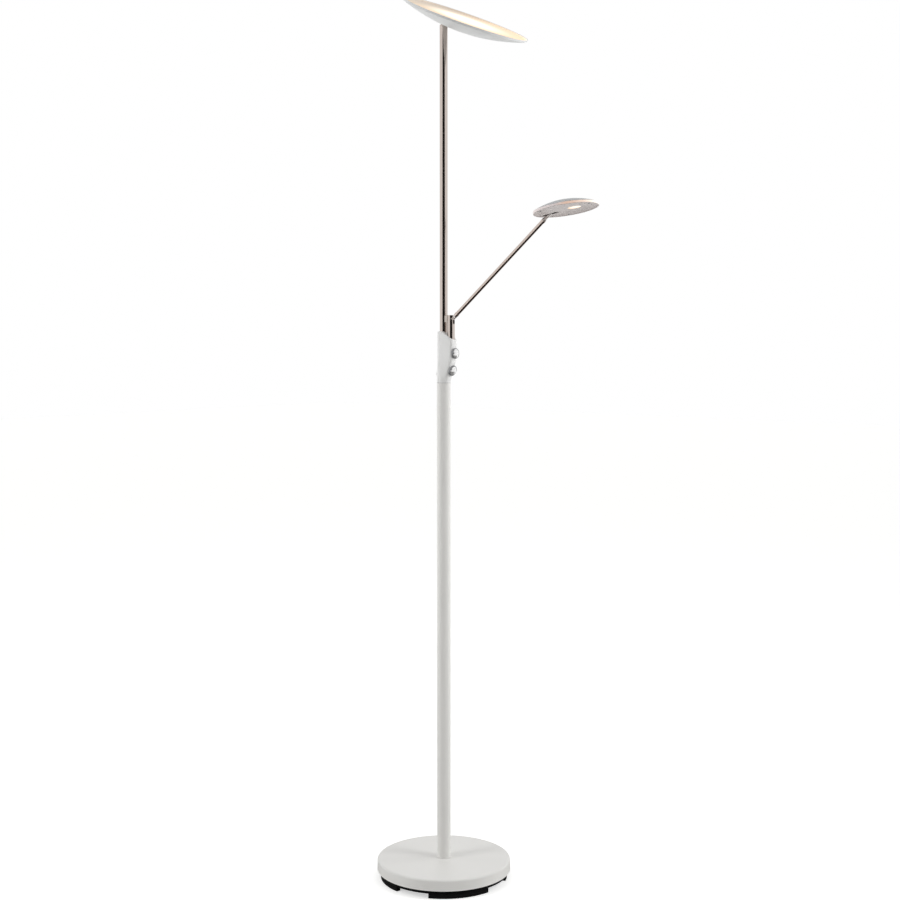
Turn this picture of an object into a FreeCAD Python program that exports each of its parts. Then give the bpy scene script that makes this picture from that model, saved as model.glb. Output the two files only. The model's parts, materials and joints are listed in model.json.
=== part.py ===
import FreeCAD, Part
import math
import os

# Torchiere floor lamp with a dish that lights the ceiling and a reading light on an arm.
# Millimetres. Origin on the floor on the pole's axis, +Z up, +X the lamp's front.

Vector = FreeCAD.Vector
ORIGIN = Vector(0, 0, 0)
X_AXIS = Vector(1, 0, 0)
Y_AXIS = Vector(0, 1, 0)
Z_AXIS = Vector(0, 0, 1)
FULL_TURN = 360.0

# Clearances
fit = 0.05                  # between a shaft or screw and its hole
seat = 0.3                  # between pieces that lie beside each other
slot_play = 0.25            # each side of a tongue in its slot

# Base, from the cover's edge inwards
cover_radius = 137.5
cover_height = 22.5
cover_wall = 1.2
cover_fillet = 4.0
cover_lip_radius = 0.8
tray_inset = 4.0            # tray's edge behind the cover's
tray_reveal = 7.5           # black ring seen between the pads and the cover
tray_wall = 2.5
tray_lip = 4.0              # reaches up into the cover
tray_screw_inset = 21.5     # screws behind the tray's edge
pad_inset = 2.5             # pads behind the tray's edge
pad_height = 10.5
pad_width = 10.0
pad_count = 4
pad_span = 57.0             # degrees of arc in each pad
pad_turn = -35.0            # direction of the first pad's middle
centre_foot_radius = 24.0
nut_access_radius = 18.0
weight_thickness = 14.0
hub_radius = 24.0
nut_well_radius = 16.0
nut_well_depth = 12.0
grommet_hole_radius = 4.5
grommet_bore_radius = 3.2
grommet_flange_radius = 5.8
grommet_flange = 2.0
grommet_length = 8.0
grommet_height = 12.5       # above the cover's lower edge

# Driver and terminal block, on the ballast
driver_edge_gap = 10.7       # from the ballast's edge to the driver's ear
driver_length = 58.0
driver_width = 36.0
driver_height = 10.5
driver_ear = 6.0
driver_ear_height = 3.0
terminal_length = 30.0
terminal_width = 16.0
terminal_height = 9.0

# Screws
small_screw_radius = 1.25
small_head_radius = 2.4
small_head_height = 1.6
screw_radius = 2.0
screw_head_radius = 3.8
screw_head_height = 2.4

# Lower pole and its clamp
pole_radius = 14.0
pole_wall = 1.2
pole_length = 984.0
foot_insert_height = 25.0
nipple_radius = 5.0
nipple_bore_radius = 3.2
nipple_engagement = 20.0
nut_flats = 17.0
nut_height = 6.0
washer_radius = 13.0
washer_thickness = 2.0
lead_radius = 1.8
lead_bend = 4.0
lead_play = 1.2             # height left over the lead in the ballast's channel
lead_drop_gap = 3.6         # from the driver's end to the lead's drop

# Switch housing: (height above its foot, distance of its front from the pole's axis), upright above
housing_profile = [(0.0, 14.2), (5.5, 15.5), (13.0, 18.0), (37.5, 25.6), (47.5, 27.6), (57.5, 28.3)]
housing_height = 103.4
housing_back_low = 14.2     # back radius at the foot
housing_back_high = 12.9    # back radius at the top
corner_radius_low = 10.0
corner_radius_high = 5.5
corner_spread_low = 1.5
corner_spread_high = 4.6
housing_wall = 1.8
top_slope_start = 5.0       # the top is flat behind this, and slopes down in front of it
top_slope_angle = 36.0
top_round = 2.0
seam_x = -1.5               # the two shells meet here
boss_radius = 3.0
boss_side = 8.2
boss_height = 17.4
boss_reach = 8.0
boss_head_x = -6.6

# Casting inside the housing
spigot_depth = 25.0
spigot_wall = 2.8
core_collar_height = 5.0
column_radius = 4.6
column_bore_radius = 3.2
socket_radius = 10.2
socket_base_height = 38.0
socket_floor = 4.0
socket_depth = 26.0
bridge_thickness = 6.0
bridge_front_radius = 7.3
peg_height = 15.0
peg_bore_radius = 3.0
board_pad_width = 10.0
board_pad_reach = 11.0
core_screw_height = 12.0

# Dimmers and knobs
upper_knob_height = 59.2
lower_knob_height = 25.0
knob_gap = 0.5
knob_radius = 10.5
knob_rim = 3.6
knob_height = 7.2
knob_cavity_radius = 8.6
knob_cavity_depth = 2.4
knob_hub_radius = 3.2
shaft_radius = 1.5
shaft_grip = 4.6            # length of the shaft inside the knob
shaft_tail = 3.0            # length of the shaft inside the dimmer's body
bush_radius = 3.0
dimmer_radius = 6.0
dimmer_body = 5.0
board_thickness = 1.6
board_width = 15.0
lower_board_length = 15.0
lower_bush = 3.4

# Upper pole
upper_radius = 8.0
upper_wall = 1.0
torch_pivot_height = 1748.0
knuckle_gap = 12.6          # from the hinge down to the knuckle's shoulder
knuckle_shoulder = 1.2
knuckle_plug = 18.0
tongue_width = 8.0
tongue_radius = 4.0
torch_bolt_radius = 1.5
grub_radius = 1.5
grub_heights = (8.0, 18.0)  # above the socket's floor

# Reading post and its clip
post_x = 19.5
post_radius = 7.5
post_wall = 1.0
post_height = 62.0
fork_depth = 32.0
fork_slot = 5.4
fork_slot_back = 0.6        # the slot starts this far behind the post's axis
fork_slot_depth = 17.5
arm_pivot_x = 24.0
arm_pivot_drop = 7.2        # below the post's top
arm_pin_radius = 1.5
clip_height = 13.0
clip_drop = 1.0
clip_width = 10.0
clip_hook = 15.5
clip_peg_radius = 2.0

# Reading arm, from its lower hinge to its upper hinge
arm_length = 315.0
arm_lift = 39.4             # degrees above level
arm_radius = 4.0
arm_wall = 1.0
lower_tongue = 5.0
lower_eye_radius = 4.2
lower_neck = 6.4
lower_reach = 9.0           # from the hinge to the round part
upper_tongue = 4.0
upper_eye_radius = 3.0
upper_neck = 5.4
upper_reach = 20.5
arm_shoulder = 2.0
arm_spigot = 15.0
head_pin_radius = 1.25
arm_lead_radius = 1.2

# Reading head, in its own frame: origin at the centre of its rim, dome up
head_lift = 10.0            # its outer end is raised by this many degrees
head_radius = 62.5
head_edge = 5.0
head_dome = 14.0
head_wall = 1.2
band_wall = 2.2
plate_recess = 0.8
plate_thickness = 1.2
hinge_inset = 34.0          # hinge to the head's centre
hinge_rise = 4.0
head_slot_inner = 52.0
head_slot_outer = 21.0
head_slot_width = 4.8
ear_thickness = 2.0
head_ear_radius = 3.6
foot_width = 8.0
foot_thickness = 1.2
foot_half_length = 8.0
lens_offset = 19.0
lens_radius = 12.5
lens_flange = 1.8
lens_thickness = 2.4
holder_height = 2.5
led_board_thickness = 1.4
led_size = 5.0
led_height = 1.2
head_screw_circle = 53.0
head_screw_count = 3
head_boss_radius = 3.2

# Torch dish, in its own frame: origin at the centre of its rim, bowl down
torch_lower = 24.4          # its outer end is lowered by this many degrees
torch_radius = 129.6
torch_edge = 4.3
torch_bowl = 22.8
torch_wall = 1.2
torch_hinge_inset = 54.4    # hinge to the dish's centre
torch_hinge_depth = 17.3
torch_slot_inner = 7.2      # slot lengths either side of the hinge
torch_slot_outer = 9.8
spreader_depth = 9.8
spreader_thickness = 1.5
spreader_screw_circle = 99.0
spreader_screw_count = 3
spreader_boss_radius = 3.5
torch_board_radius = 93.0
torch_led_size = 3.5
torch_led_height = 1.0
torch_led_radii = (45.0, 78.0)
torch_led_counts = (12, 20)
liner_gap = 0.4
liner_thickness = 0.8
liner_flange_inner = 94.5
diffuser_recess = 2.5
diffuser_thickness = 1.5
diffuser_radius = 126.5
rim_ring_width = 3.2
rim_ring_recess = 0.5
bracket_half_length = 15.0
bracket_half_width = 9.0
bracket_thickness = 1.5
torch_ear_gap = 0.3
torch_ear_thickness = 2.0
torch_ear_radius = 4.2
bracket_screw_offset = 11.0
washer_gap = 0.6
bolt_head_height = 2.0
bolt_head_radius = 3.0

# Places worked out from the sizes above
tray_radius = cover_radius - tray_inset
pad_radius = tray_radius - pad_inset
tray_screw_circle = tray_radius - tray_screw_inset
weight_radius = tray_radius - tray_wall - seat
driver_x = driver_edge_gap + driver_ear + driver_length / 2 - weight_radius
tray_floor = pad_height + tray_wall
cover_bottom = pad_height + tray_reveal
base_top = cover_bottom + cover_height
cover_under = base_top - cover_wall
grommet_level = cover_bottom + grommet_height
weight_top = tray_floor + weight_thickness
well_top = tray_floor + nut_well_depth
nut_bottom = well_top - washer_thickness - nut_height
pole_top = base_top + pole_length
pole_inner = pole_radius - pole_wall
swell_height, housing_front = housing_profile[-1]
housing_top = pole_top + housing_height
socket_bottom = pole_top + socket_base_height
socket_seat = socket_bottom + socket_floor
socket_top = socket_seat + socket_depth
board_pad_low = socket_bottom + 2 * seat
board_pad_high = socket_top - 2 * seat
bridge_top = socket_top + bridge_thickness
post_top = bridge_top + post_height
post_inner = post_radius - post_wall
arm_pivot_z = post_top - arm_pivot_drop
knuckle_top = torch_pivot_height - knuckle_gap
upper_pole_top = knuckle_top - knuckle_shoulder
upper_inner = upper_radius - upper_wall
overrun = 1.0               # cutting shapes run past the faces they cut


def cylinder(radius, low, high, x=0.0, y=0.0):
    return Part.makeCylinder(radius, high - low, Vector(x, y, low), Z_AXIS)


def tube(outer, inner, low, high, x=0.0, y=0.0):
    return cylinder(outer, low, high, x, y).cut(cylinder(inner, low - overrun, high + overrun, x, y))


def rod_x(radius, start, end, y=0.0, z=0.0):
    return Part.makeCylinder(radius, end - start, Vector(start, y, z), X_AXIS)


def rod_y(radius, start, end, x=0.0, z=0.0):
    return Part.makeCylinder(radius, end - start, Vector(x, start, z), Y_AXIS)


def block(x_low, x_high, y_low, y_high, z_low, z_high):
    return Part.makeBox(x_high - x_low, y_high - y_low, z_high - z_low, Vector(x_low, y_low, z_low))


def line(start, end):
    return Part.makeLine(Vector(*start), Vector(*end))


def arc(start, middle, end):
    return Part.Arc(Vector(*start), Vector(*middle), Vector(*end)).toShape()


def revolved(edges, axis=Z_AXIS):
    return Part.Face(Part.Wire(edges)).revolve(ORIGIN, axis, FULL_TURN)


def on_circle(count, radius, turn=0.0):
    """Points spaced evenly round a circle."""
    angles = [math.radians(turn + FULL_TURN * index / count) for index in range(count)]
    return [(radius * math.cos(angle), radius * math.sin(angle)) for angle in angles]


def placed(shape, x, z, turn):
    """A shape drawn in its own frame, turned about +Y and moved to its place."""
    moved = shape.copy()
    frame = FreeCAD.Placement(Vector(x, 0, z), FreeCAD.Rotation(Y_AXIS, turn))
    moved.Placement = frame.multiply(moved.Placement)
    return moved


def screw(radius, head_radius, head_height, length):
    """A screw with its head above z = 0 and its shank below."""
    return cylinder(head_radius, 0, head_height).fuse(cylinder(radius, -length, 0)).removeSplitter()


def moved_to(shape, x, y, z):
    moved = shape.copy()
    moved.translate(Vector(x, y, z))
    return moved


# ---------------------------------------------------------------- base

def foot_pads():
    pads = []
    for index in range(pad_count):
        middle = pad_turn + FULL_TURN * index / pad_count
        ring = tube(pad_radius, pad_radius - pad_width, 0, pad_height)
        wedge = Part.makeCylinder(tray_radius, pad_height, ORIGIN, Z_AXIS, pad_span)
        wedge.rotate(ORIGIN, Z_AXIS, middle - pad_span / 2)
        pads.append(ring.common(wedge))
    return pads


def centre_foot():
    """Rubber foot that closes the opening under the pole's nut."""
    disc = cylinder(centre_foot_radius, 0, pad_height)
    return disc.fuse(cylinder(nut_access_radius - seat, pad_height, tray_floor)).removeSplitter()


def bottom_tray():
    tray = cylinder(tray_radius, pad_height, cover_bottom + tray_lip)
    tray = tray.cut(cylinder(tray_radius - tray_wall, tray_floor, cover_bottom + tray_lip + overrun))
    tray = tray.cut(cylinder(nut_access_radius, pad_height - overrun, tray_floor + overrun))
    for x, y in on_circle(pad_count, tray_screw_circle, pad_turn):
        tray = tray.cut(cylinder(screw_radius + fit, pad_height - overrun, tray_floor + overrun, x, y))
    return tray


def tray_screws():
    bolt = screw(screw_radius, screw_head_radius, screw_head_height, tray_wall + weight_thickness / 2)
    bolt.rotate(ORIGIN, X_AXIS, 180)
    return [moved_to(bolt, x, y, pad_height) for x, y in on_circle(pad_count, tray_screw_circle, pad_turn)]


def lead_drop_x():
    return driver_x + driver_length / 2 + driver_ear + lead_drop_gap


def base_weight():
    weight = cylinder(weight_radius, tray_floor, weight_top)
    weight = weight.fuse(cylinder(hub_radius, weight_top, cover_under)).removeSplitter()
    weight = weight.cut(cylinder(nut_well_radius, tray_floor - overrun, well_top))
    weight = weight.cut(cylinder(nipple_radius + fit, tray_floor, cover_under + overrun))
    for x, y in on_circle(pad_count, tray_screw_circle, pad_turn):
        depth = tray_floor + weight_thickness / 2 + overrun
        weight = weight.cut(cylinder(screw_radius + fit, tray_floor - overrun, depth, x, y))
    for x, y in driver_screw_places():
        weight = weight.cut(cylinder(small_screw_radius + fit, weight_top - driver_screw_length(),
                                     weight_top + overrun, x, y))
    channel = 2 * lead_radius
    drop = lead_drop_x()
    weight = weight.cut(block(drop - channel, 0, -channel, channel, tray_floor - overrun,
                              tray_floor + 2 * lead_radius + lead_play))
    return weight.cut(block(drop - channel, drop + channel, -channel, channel, tray_floor,
                            cover_under + overrun))


def base_cover():
    radius, corner = cover_radius, cover_fillet
    inner, inner_corner = radius - cover_wall, corner - cover_wall
    diagonal = math.sqrt(0.5)
    edges = [line((0, 0, base_top), (radius - corner, 0, base_top)),
             arc((radius - corner, 0, base_top),
                 (radius - corner * (1 - diagonal), 0, base_top - corner * (1 - diagonal)),
                 (radius, 0, base_top - corner)),
             line((radius, 0, base_top - corner), (radius, 0, cover_bottom)),
             line((radius, 0, cover_bottom), (inner, 0, cover_bottom)),
             line((inner, 0, cover_bottom), (inner, 0, base_top - corner)),
             arc((inner, 0, base_top - corner),
                 (inner - inner_corner * (1 - diagonal), 0, cover_under - inner_corner * (1 - diagonal)),
                 (inner - inner_corner, 0, cover_under)),
             line((inner - inner_corner, 0, cover_under), (0, 0, cover_under)),
             line((0, 0, cover_under), (0, 0, base_top))]
    cover = revolved(edges)
    bead = Part.makeTorus(radius - cover_lip_radius / 4, cover_lip_radius,
                          Vector(0, 0, cover_bottom + cover_lip_radius))
    cover = cover.fuse(bead.common(tube(radius + 2 * cover_lip_radius, inner, cover_bottom, base_top)))
    cover = cover.cut(cylinder(nipple_radius + fit, cover_under - overrun, base_top + overrun))
    return cover.cut(rod_x(grommet_hole_radius, -radius - 2 * overrun, -inner + 2 * overrun, 0, grommet_level))


def cord_grommet():
    """Inlet in the cover's back wall, with a flange on each side of the sheet."""
    inner = cover_radius - cover_wall
    sagitta = cover_radius - math.sqrt(cover_radius ** 2 - grommet_flange_radius ** 2)
    level, flange = grommet_level, grommet_flange_radius
    outside = rod_x(flange, -cover_radius - grommet_flange, -cover_radius + sagitta, 0, level)
    outside = outside.cut(cylinder(cover_radius, cover_bottom, base_top))
    neck = rod_x(grommet_hole_radius - fit, -cover_radius - grommet_flange, -inner + sagitta, 0, level)
    inside = rod_x(flange, -inner, -cover_radius - grommet_flange + grommet_length, 0, level)
    inside = inside.common(cylinder(inner, cover_bottom, base_top))
    body = outside.fuse([neck, inside]).removeSplitter()
    return body.cut(rod_x(grommet_bore_radius, -cover_radius - 2 * grommet_flange,
                          -cover_radius + grommet_length, 0, level))


def driver_screw_places():
    reach = driver_length / 2 + driver_ear / 2
    return [(driver_x - reach, 0), (driver_x + reach, 0)]


def driver_screw_length():
    return 2 * driver_ear_height


def led_driver():
    half, ear = driver_length / 2, driver_length / 2 + driver_ear
    body = block(driver_x - half, driver_x + half, -driver_width / 2, driver_width / 2,
                 weight_top, weight_top + driver_height)
    ears = block(driver_x - ear, driver_x + ear, -driver_ear, driver_ear, weight_top,
                 weight_top + driver_ear_height)
    body = body.fuse(ears).removeSplitter()
    for x, y in driver_screw_places():
        body = body.cut(cylinder(small_screw_radius + fit, weight_top - overrun,
                                 weight_top + driver_ear_height + overrun, x, y))
    return body


def driver_screws():
    shape = screw(small_screw_radius, small_head_radius, small_head_height,
                  driver_ear_height + driver_screw_length() - overrun)
    return [moved_to(shape, x, y, weight_top + driver_ear_height) for x, y in driver_screw_places()]


def terminal_block():
    low = driver_width / 2 + seat
    return block(driver_x - terminal_length / 2, driver_x + terminal_length / 2, low,
                 low + terminal_width, weight_top, weight_top + terminal_height)


# ---------------------------------------------------------------- lower pole

def lower_pole():
    pole = tube(pole_radius, pole_inner, base_top, pole_top)
    return pole.cut(rod_x(screw_radius + fit, -pole_radius - overrun, 0, 0, pole_top - core_screw_height))


def pole_foot():
    insert = cylinder(pole_inner - fit, base_top, base_top + foot_insert_height)
    insert = insert.cut(cylinder(nipple_radius + fit, base_top - overrun, base_top + nipple_engagement))
    return insert.cut(cylinder(nipple_bore_radius, base_top, base_top + foot_insert_height + overrun))


def pole_nipple():
    return tube(nipple_radius, nipple_bore_radius, nut_bottom, base_top + nipple_engagement)


def pole_washer():
    return tube(washer_radius, nipple_radius + fit, well_top - washer_thickness, well_top)


def pole_nut():
    corners = on_circle(6, nut_flats / math.sqrt(3))
    outline = Part.makePolygon([Vector(x, y, nut_bottom) for x, y in corners + corners[:1]])
    nut = Part.Face(outline).extrude(Vector(0, 0, nut_height))
    return nut.cut(cylinder(nipple_radius + fit, nut_bottom - overrun, nut_bottom + nut_height + overrun))


def rounded_route(points, radii):
    """Straight runs joined by tangent arcs, as one wire."""
    edges = []
    start = points[0]
    for before, corner, after, radius in zip(points, points[1:], points[2:], radii):
        incoming = (corner - before).normalize()
        outgoing = (after - corner).normalize()
        turn = incoming.getAngle(outgoing)
        trim = radius * math.tan(turn / 2)
        arc_start, arc_end = corner - incoming * trim, corner + outgoing * trim
        inward = (outgoing - incoming).normalize()
        middle = corner + inward * (radius / math.cos(turn / 2) - radius)
        edges.append(Part.makeLine(start, arc_start))
        edges.append(Part.Arc(arc_start, middle, arc_end).toShape())
        start = arc_end
    edges.append(Part.makeLine(start, points[-1]))
    return Part.Wire(edges)


def stand_lead():
    """From the driver, down through the ballast and up the pole to the dimmers."""
    drop = lead_drop_x()
    low = tray_floor + lead_radius + seat
    level = weight_top + driver_ear_height + small_head_height + seat + lead_radius
    points = [Vector(driver_x + driver_length / 2, 0, level), Vector(drop, 0, level),
              Vector(drop, 0, low), Vector(0, 0, low), Vector(0, 0, socket_bottom)]
    rise = nut_bottom - low
    route = rounded_route(points, [lead_bend, lead_bend, min(lead_bend, rise)])
    start = Part.Wire(Part.makeCircle(lead_radius, points[0], X_AXIS))
    return route.makePipeShell([start], True, False)


# ---------------------------------------------------------------- switch housing

def front_at(height):
    """Distance of the housing's front from the pole's axis, between the profile's points."""
    for (low, front_low), (high, front_high) in zip(housing_profile, housing_profile[1:]):
        if height <= high:
            return front_low + (front_high - front_low) * (height - low) / (high - low)
    return housing_front


def slope_at(height):
    """Degrees by which the housing's front leans back at this height."""
    for (low, front_low), (high, front_high) in zip(housing_profile, housing_profile[1:]):
        if height <= high:
            return math.degrees(math.atan2(front_high - front_low, high - low))
    return 0.0


def housing_section(height, level, inset):
    """One level outline: a round back, tangent sides and a front with two round corners."""
    front = front_at(height)
    front_low = housing_profile[0][1]
    share = (front - front_low) / (housing_front - front_low)
    rise = height / swell_height
    back = housing_back_low + (housing_back_high - housing_back_low) * rise
    corner = corner_radius_low + (corner_radius_high - corner_radius_low) * share
    spread = corner_spread_low + (corner_spread_high - corner_spread_low) * share
    centre_x = front - corner
    distance = math.hypot(centre_x, spread)
    angle = math.atan2(spread, centre_x) + math.acos((back - corner) / distance)
    back, corner, front = back - inset, corner - inset, front - inset

    def corner_point(turn, side):
        return (centre_x + corner * math.cos(turn), side * (spread + corner * math.sin(turn)), level)

    def back_point(side):
        return (back * math.cos(angle), side * back * math.sin(angle), level)

    return Part.Wire([line(back_point(1), corner_point(angle, 1)),
                      arc(corner_point(angle, 1), corner_point(angle / 2, 1), (front, spread, level)),
                      line((front, spread, level), (front, -spread, level)),
                      arc((front, -spread, level), corner_point(angle / 2, -1), corner_point(angle, -1)),
                      line(corner_point(angle, -1), back_point(-1)),
                      arc(back_point(-1), (-back, 0, level), back_point(1))])


def housing_form(inset):
    """The housing's solid form, or the hollow inside it."""
    levels = [(height, pole_top + height) for height, front in housing_profile]
    if inset:
        levels = [(0.0, pole_top - overrun)] + levels[1:]
    form = Part.makeLoft([housing_section(height, level, inset) for height, level in levels], True, False)
    top_section = Part.Face(housing_section(swell_height, pole_top + swell_height, inset))
    form = form.fuse(top_section.extrude(Vector(0, 0, housing_height - swell_height)))
    top = housing_top - inset
    slope = math.tan(math.radians(top_slope_angle))
    start = top_slope_start - inset * math.tan(math.radians(top_slope_angle / 2))
    reach = housing_front + 2 * overrun
    above = housing_top + 2 * overrun
    outline = [Vector(-reach, -reach, top), Vector(start, -reach, top),
               Vector(reach, -reach, top - (reach - start) * slope),
               Vector(reach, -reach, above), Vector(-reach, -reach, above), Vector(-reach, -reach, top)]
    cutter = Part.Face(Part.makePolygon(outline)).extrude(Vector(0, 2 * reach, 0))
    return form.cut(cutter).removeSplitter()


def rounded_housing_form():
    """The outside form with a round along the outline of its top."""
    form = housing_form(0.0)
    slope = math.tan(math.radians(top_slope_angle))

    def on_top(point):
        top = housing_top - max(0.0, point.x - top_slope_start) * slope
        return abs(point.z - top) < fit

    def is_outline(edge):
        middle = edge.valueAt((edge.FirstParameter + edge.LastParameter) / 2)
        ends = [vertex.Point for vertex in edge.Vertexes]
        crease = all(abs(point.x - top_slope_start) < fit for point in ends)
        return on_top(middle) and all(on_top(point) for point in ends) and not crease

    return form.makeFillet(top_round, [edge for edge in form.Edges if is_outline(edge)])


def knob_frame(height):
    """Place and turn of a knob's back, just off the housing's front."""
    tilt = slope_at(height)
    lean = math.radians(tilt)
    x = front_at(height) + knob_gap * math.cos(lean)
    return x, pole_top + height - knob_gap * math.sin(lean), tilt


def housing_boss(side):
    """Screw boss through both shells, with a web to the side wall."""
    level = pole_top + boss_height
    boss = rod_x(boss_radius, -housing_back_low, boss_reach, side * boss_side, level)
    near, far = side * boss_side, side * housing_back_low
    web = block(-housing_back_low, boss_reach, min(near, far), max(near, far), level - housing_wall / 2,
                level + housing_wall / 2)
    return boss.fuse(web)


def housing_shells():
    outside = rounded_housing_form()
    form = outside.cut(housing_form(housing_wall))
    for side in (-1, 1):
        form = form.fuse(housing_boss(side).common(outside))
    form = form.cut(cylinder(upper_radius + seat, socket_top, housing_top + overrun))
    form = form.cut(cylinder(post_radius + seat, socket_top - seat, housing_top + overrun, post_x))
    for height in (upper_knob_height, lower_knob_height):
        x, z, tilt = knob_frame(height)
        hole = rod_x(bush_radius + seat, -housing_wall - knob_gap - overrun, overrun)
        form = form.cut(placed(hole, x, z, tilt))
    reach = 2 * housing_front
    behind = block(-reach, seam_x, -reach, reach, pole_top - overrun, housing_top + overrun)
    ahead = block(seam_x, reach, -reach, reach, pole_top - overrun, housing_top + overrun)
    back, front = form.common(behind), form.common(ahead)
    for side in (-1, 1):
        y, z = side * boss_side, pole_top + boss_height
        back = back.cut(rod_x(small_head_radius + fit, -reach, boss_head_x, y, z))
        back = back.cut(rod_x(small_screw_radius + fit, -reach, overrun, y, z))
        front = front.cut(rod_x(small_screw_radius + fit, seam_x - overrun, boss_reach - overrun, y, z))
    return back, front


def housing_screws():
    length = boss_reach - boss_head_x - 2 * overrun
    shape = screw(small_screw_radius, small_head_radius, small_head_height, length)
    shape.rotate(ORIGIN, Y_AXIS, -90)
    return [moved_to(shape, boss_head_x, side * boss_side, pole_top + boss_height) for side in (-1, 1)]


def housing_core():
    """Casting that plugs into the lower pole and carries the upper pole and the reading post."""
    core = cylinder(pole_inner - fit, pole_top - spigot_depth, pole_top)
    core = core.fuse(cylinder(housing_back_low - housing_wall - seat, pole_top, pole_top + core_collar_height))
    core = core.fuse(cylinder(column_radius, pole_top, socket_bottom + overrun))
    core = core.fuse(cylinder(socket_radius, socket_bottom, socket_top))
    pad = block(0, board_pad_reach, -board_pad_width / 2, board_pad_width / 2, board_pad_low, board_pad_high)
    core = core.fuse(pad)
    core = core.fuse(bridge())
    core = core.fuse(cylinder(post_inner - fit, socket_top, bridge_top + peg_height, post_x))
    x, z, tilt = knob_frame(lower_knob_height)
    back = -(lower_bush + dimmer_body + board_thickness)
    rib = block(back - x / 2 - column_radius / 2, back, -board_pad_width / 3, board_pad_width / 3,
                -board_pad_width / 2, board_pad_width / 2)
    core = core.fuse(placed(rib, x, z, tilt))
    core = core.cut(cylinder(column_bore_radius, pole_top - spigot_depth, socket_seat + overrun))
    core = core.cut(cylinder(pole_inner - spigot_wall, pole_top - spigot_depth - overrun, pole_top - overrun))
    core = core.cut(cylinder(upper_radius + fit, socket_seat, bridge_top + overrun))
    core = core.cut(cylinder(peg_bore_radius, socket_top - overrun, bridge_top + peg_height + overrun, post_x))
    core = core.cut(rod_x(screw_radius + fit, -pole_radius, 0, 0, pole_top - core_screw_height))
    for height in grub_heights:
        core = core.cut(rod_x(grub_radius + fit, -socket_radius - overrun, 0, 0, socket_seat + height))
    return core.removeSplitter()


def bridge():
    """Plate from the socket to the post, as wide as each at its end."""
    sides = math.acos((socket_radius - bridge_front_radius) / post_x)
    cos_side, sin_side = math.cos(sides), math.sin(sides)
    level = socket_top

    def edge_point(radius, centre, side):
        return (centre + radius * cos_side, side * radius * sin_side, level)

    outline = Part.Wire([line(edge_point(socket_radius, 0, 1), edge_point(bridge_front_radius, post_x, 1)),
                         arc(edge_point(bridge_front_radius, post_x, 1),
                             (post_x + bridge_front_radius, 0, level),
                             edge_point(bridge_front_radius, post_x, -1)),
                         line(edge_point(bridge_front_radius, post_x, -1), edge_point(socket_radius, 0, -1)),
                         arc(edge_point(socket_radius, 0, -1), (-socket_radius, 0, level),
                             edge_point(socket_radius, 0, 1))])
    return Part.Face(outline).extrude(Vector(0, 0, bridge_thickness))


def grub_screws():
    """One through the back of the lower pole into the casting, two from the casting to the upper pole."""
    lower = rod_x(screw_radius, -pole_radius, -(pole_inner - spigot_wall) - fit, 0,
                  pole_top - core_screw_height)
    upper = [rod_x(grub_radius, -socket_radius, -upper_radius - fit, 0, socket_seat + height)
             for height in grub_heights]
    return [lower] + upper


# ---------------------------------------------------------------- dimmers and knobs

def dimmer(bush_length):
    """Rotary dimmer behind the housing's wall, in the knob's frame (+X outwards)."""
    front = -knob_gap - seat
    body = rod_x(dimmer_radius, -bush_length - dimmer_body, -bush_length)
    body = body.fuse(rod_x(bush_radius, -bush_length - overrun, front)).removeSplitter()
    return body.cut(rod_x(shaft_radius + fit, -bush_length - shaft_tail, front + overrun))


def dimmer_board(bush_length, low, high):
    back = -bush_length - dimmer_body - board_thickness
    return block(back, back + board_thickness, -board_width / 2, board_width / 2, low, high)


def dimmer_shaft(bush_length):
    return rod_x(shaft_radius, -bush_length - shaft_tail + seat, shaft_grip)


def knob():
    """Domed knob with a hollow back and a hub for the shaft."""
    bulge = knob_height - knob_rim
    dome_radius = (knob_radius ** 2 + bulge ** 2) / (2 * bulge)
    half = math.asin(knob_radius / dome_radius) / 2
    middle = (knob_height - dome_radius * (1 - math.cos(half)), 0, dome_radius * math.sin(half))
    body = revolved([line((0, 0, 0), (0, 0, knob_radius)),
                     line((0, 0, knob_radius), (knob_rim, 0, knob_radius)),
                     arc((knob_rim, 0, knob_radius), middle, (knob_height, 0, 0)),
                     line((knob_height, 0, 0), (0, 0, 0))], X_AXIS)
    body = body.cut(rod_x(knob_cavity_radius, -overrun, knob_cavity_depth))
    body = body.fuse(rod_x(knob_hub_radius, 0, knob_cavity_depth + overrun)).removeSplitter()
    return body.cut(rod_x(shaft_radius + fit, -overrun, shaft_grip))


def upper_dimmer():
    """The upper dimmer with its board, which rests on the casting, and its shaft."""
    x, z, tilt = knob_frame(upper_knob_height)
    bush = x - board_pad_reach - board_thickness - dimmer_body
    board = dimmer_board(bush, board_pad_low - z, board_pad_high - z)
    place = knob_place(upper_knob_height)
    return [place(board), place(dimmer(bush))], place(dimmer_shaft(bush))


def lower_dimmer():
    """The lower dimmer with its board, square to the housing's leaning front, and its shaft."""
    board = dimmer_board(lower_bush, -lower_board_length / 2, lower_board_length / 2)
    place = knob_place(lower_knob_height)
    return [place(board), place(dimmer(lower_bush))], place(dimmer_shaft(lower_bush))


# ---------------------------------------------------------------- upper pole

def upper_pole():
    pole = tube(upper_radius, upper_inner, socket_seat, upper_pole_top)
    middle = post_top - clip_drop - clip_height / 2
    return pole.cut(rod_x(clip_peg_radius + fit, upper_inner - overrun, upper_radius + overrun, 0, middle))


def upper_lead():
    return cylinder(lead_radius, socket_bottom, upper_pole_top - knuckle_plug)


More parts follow.
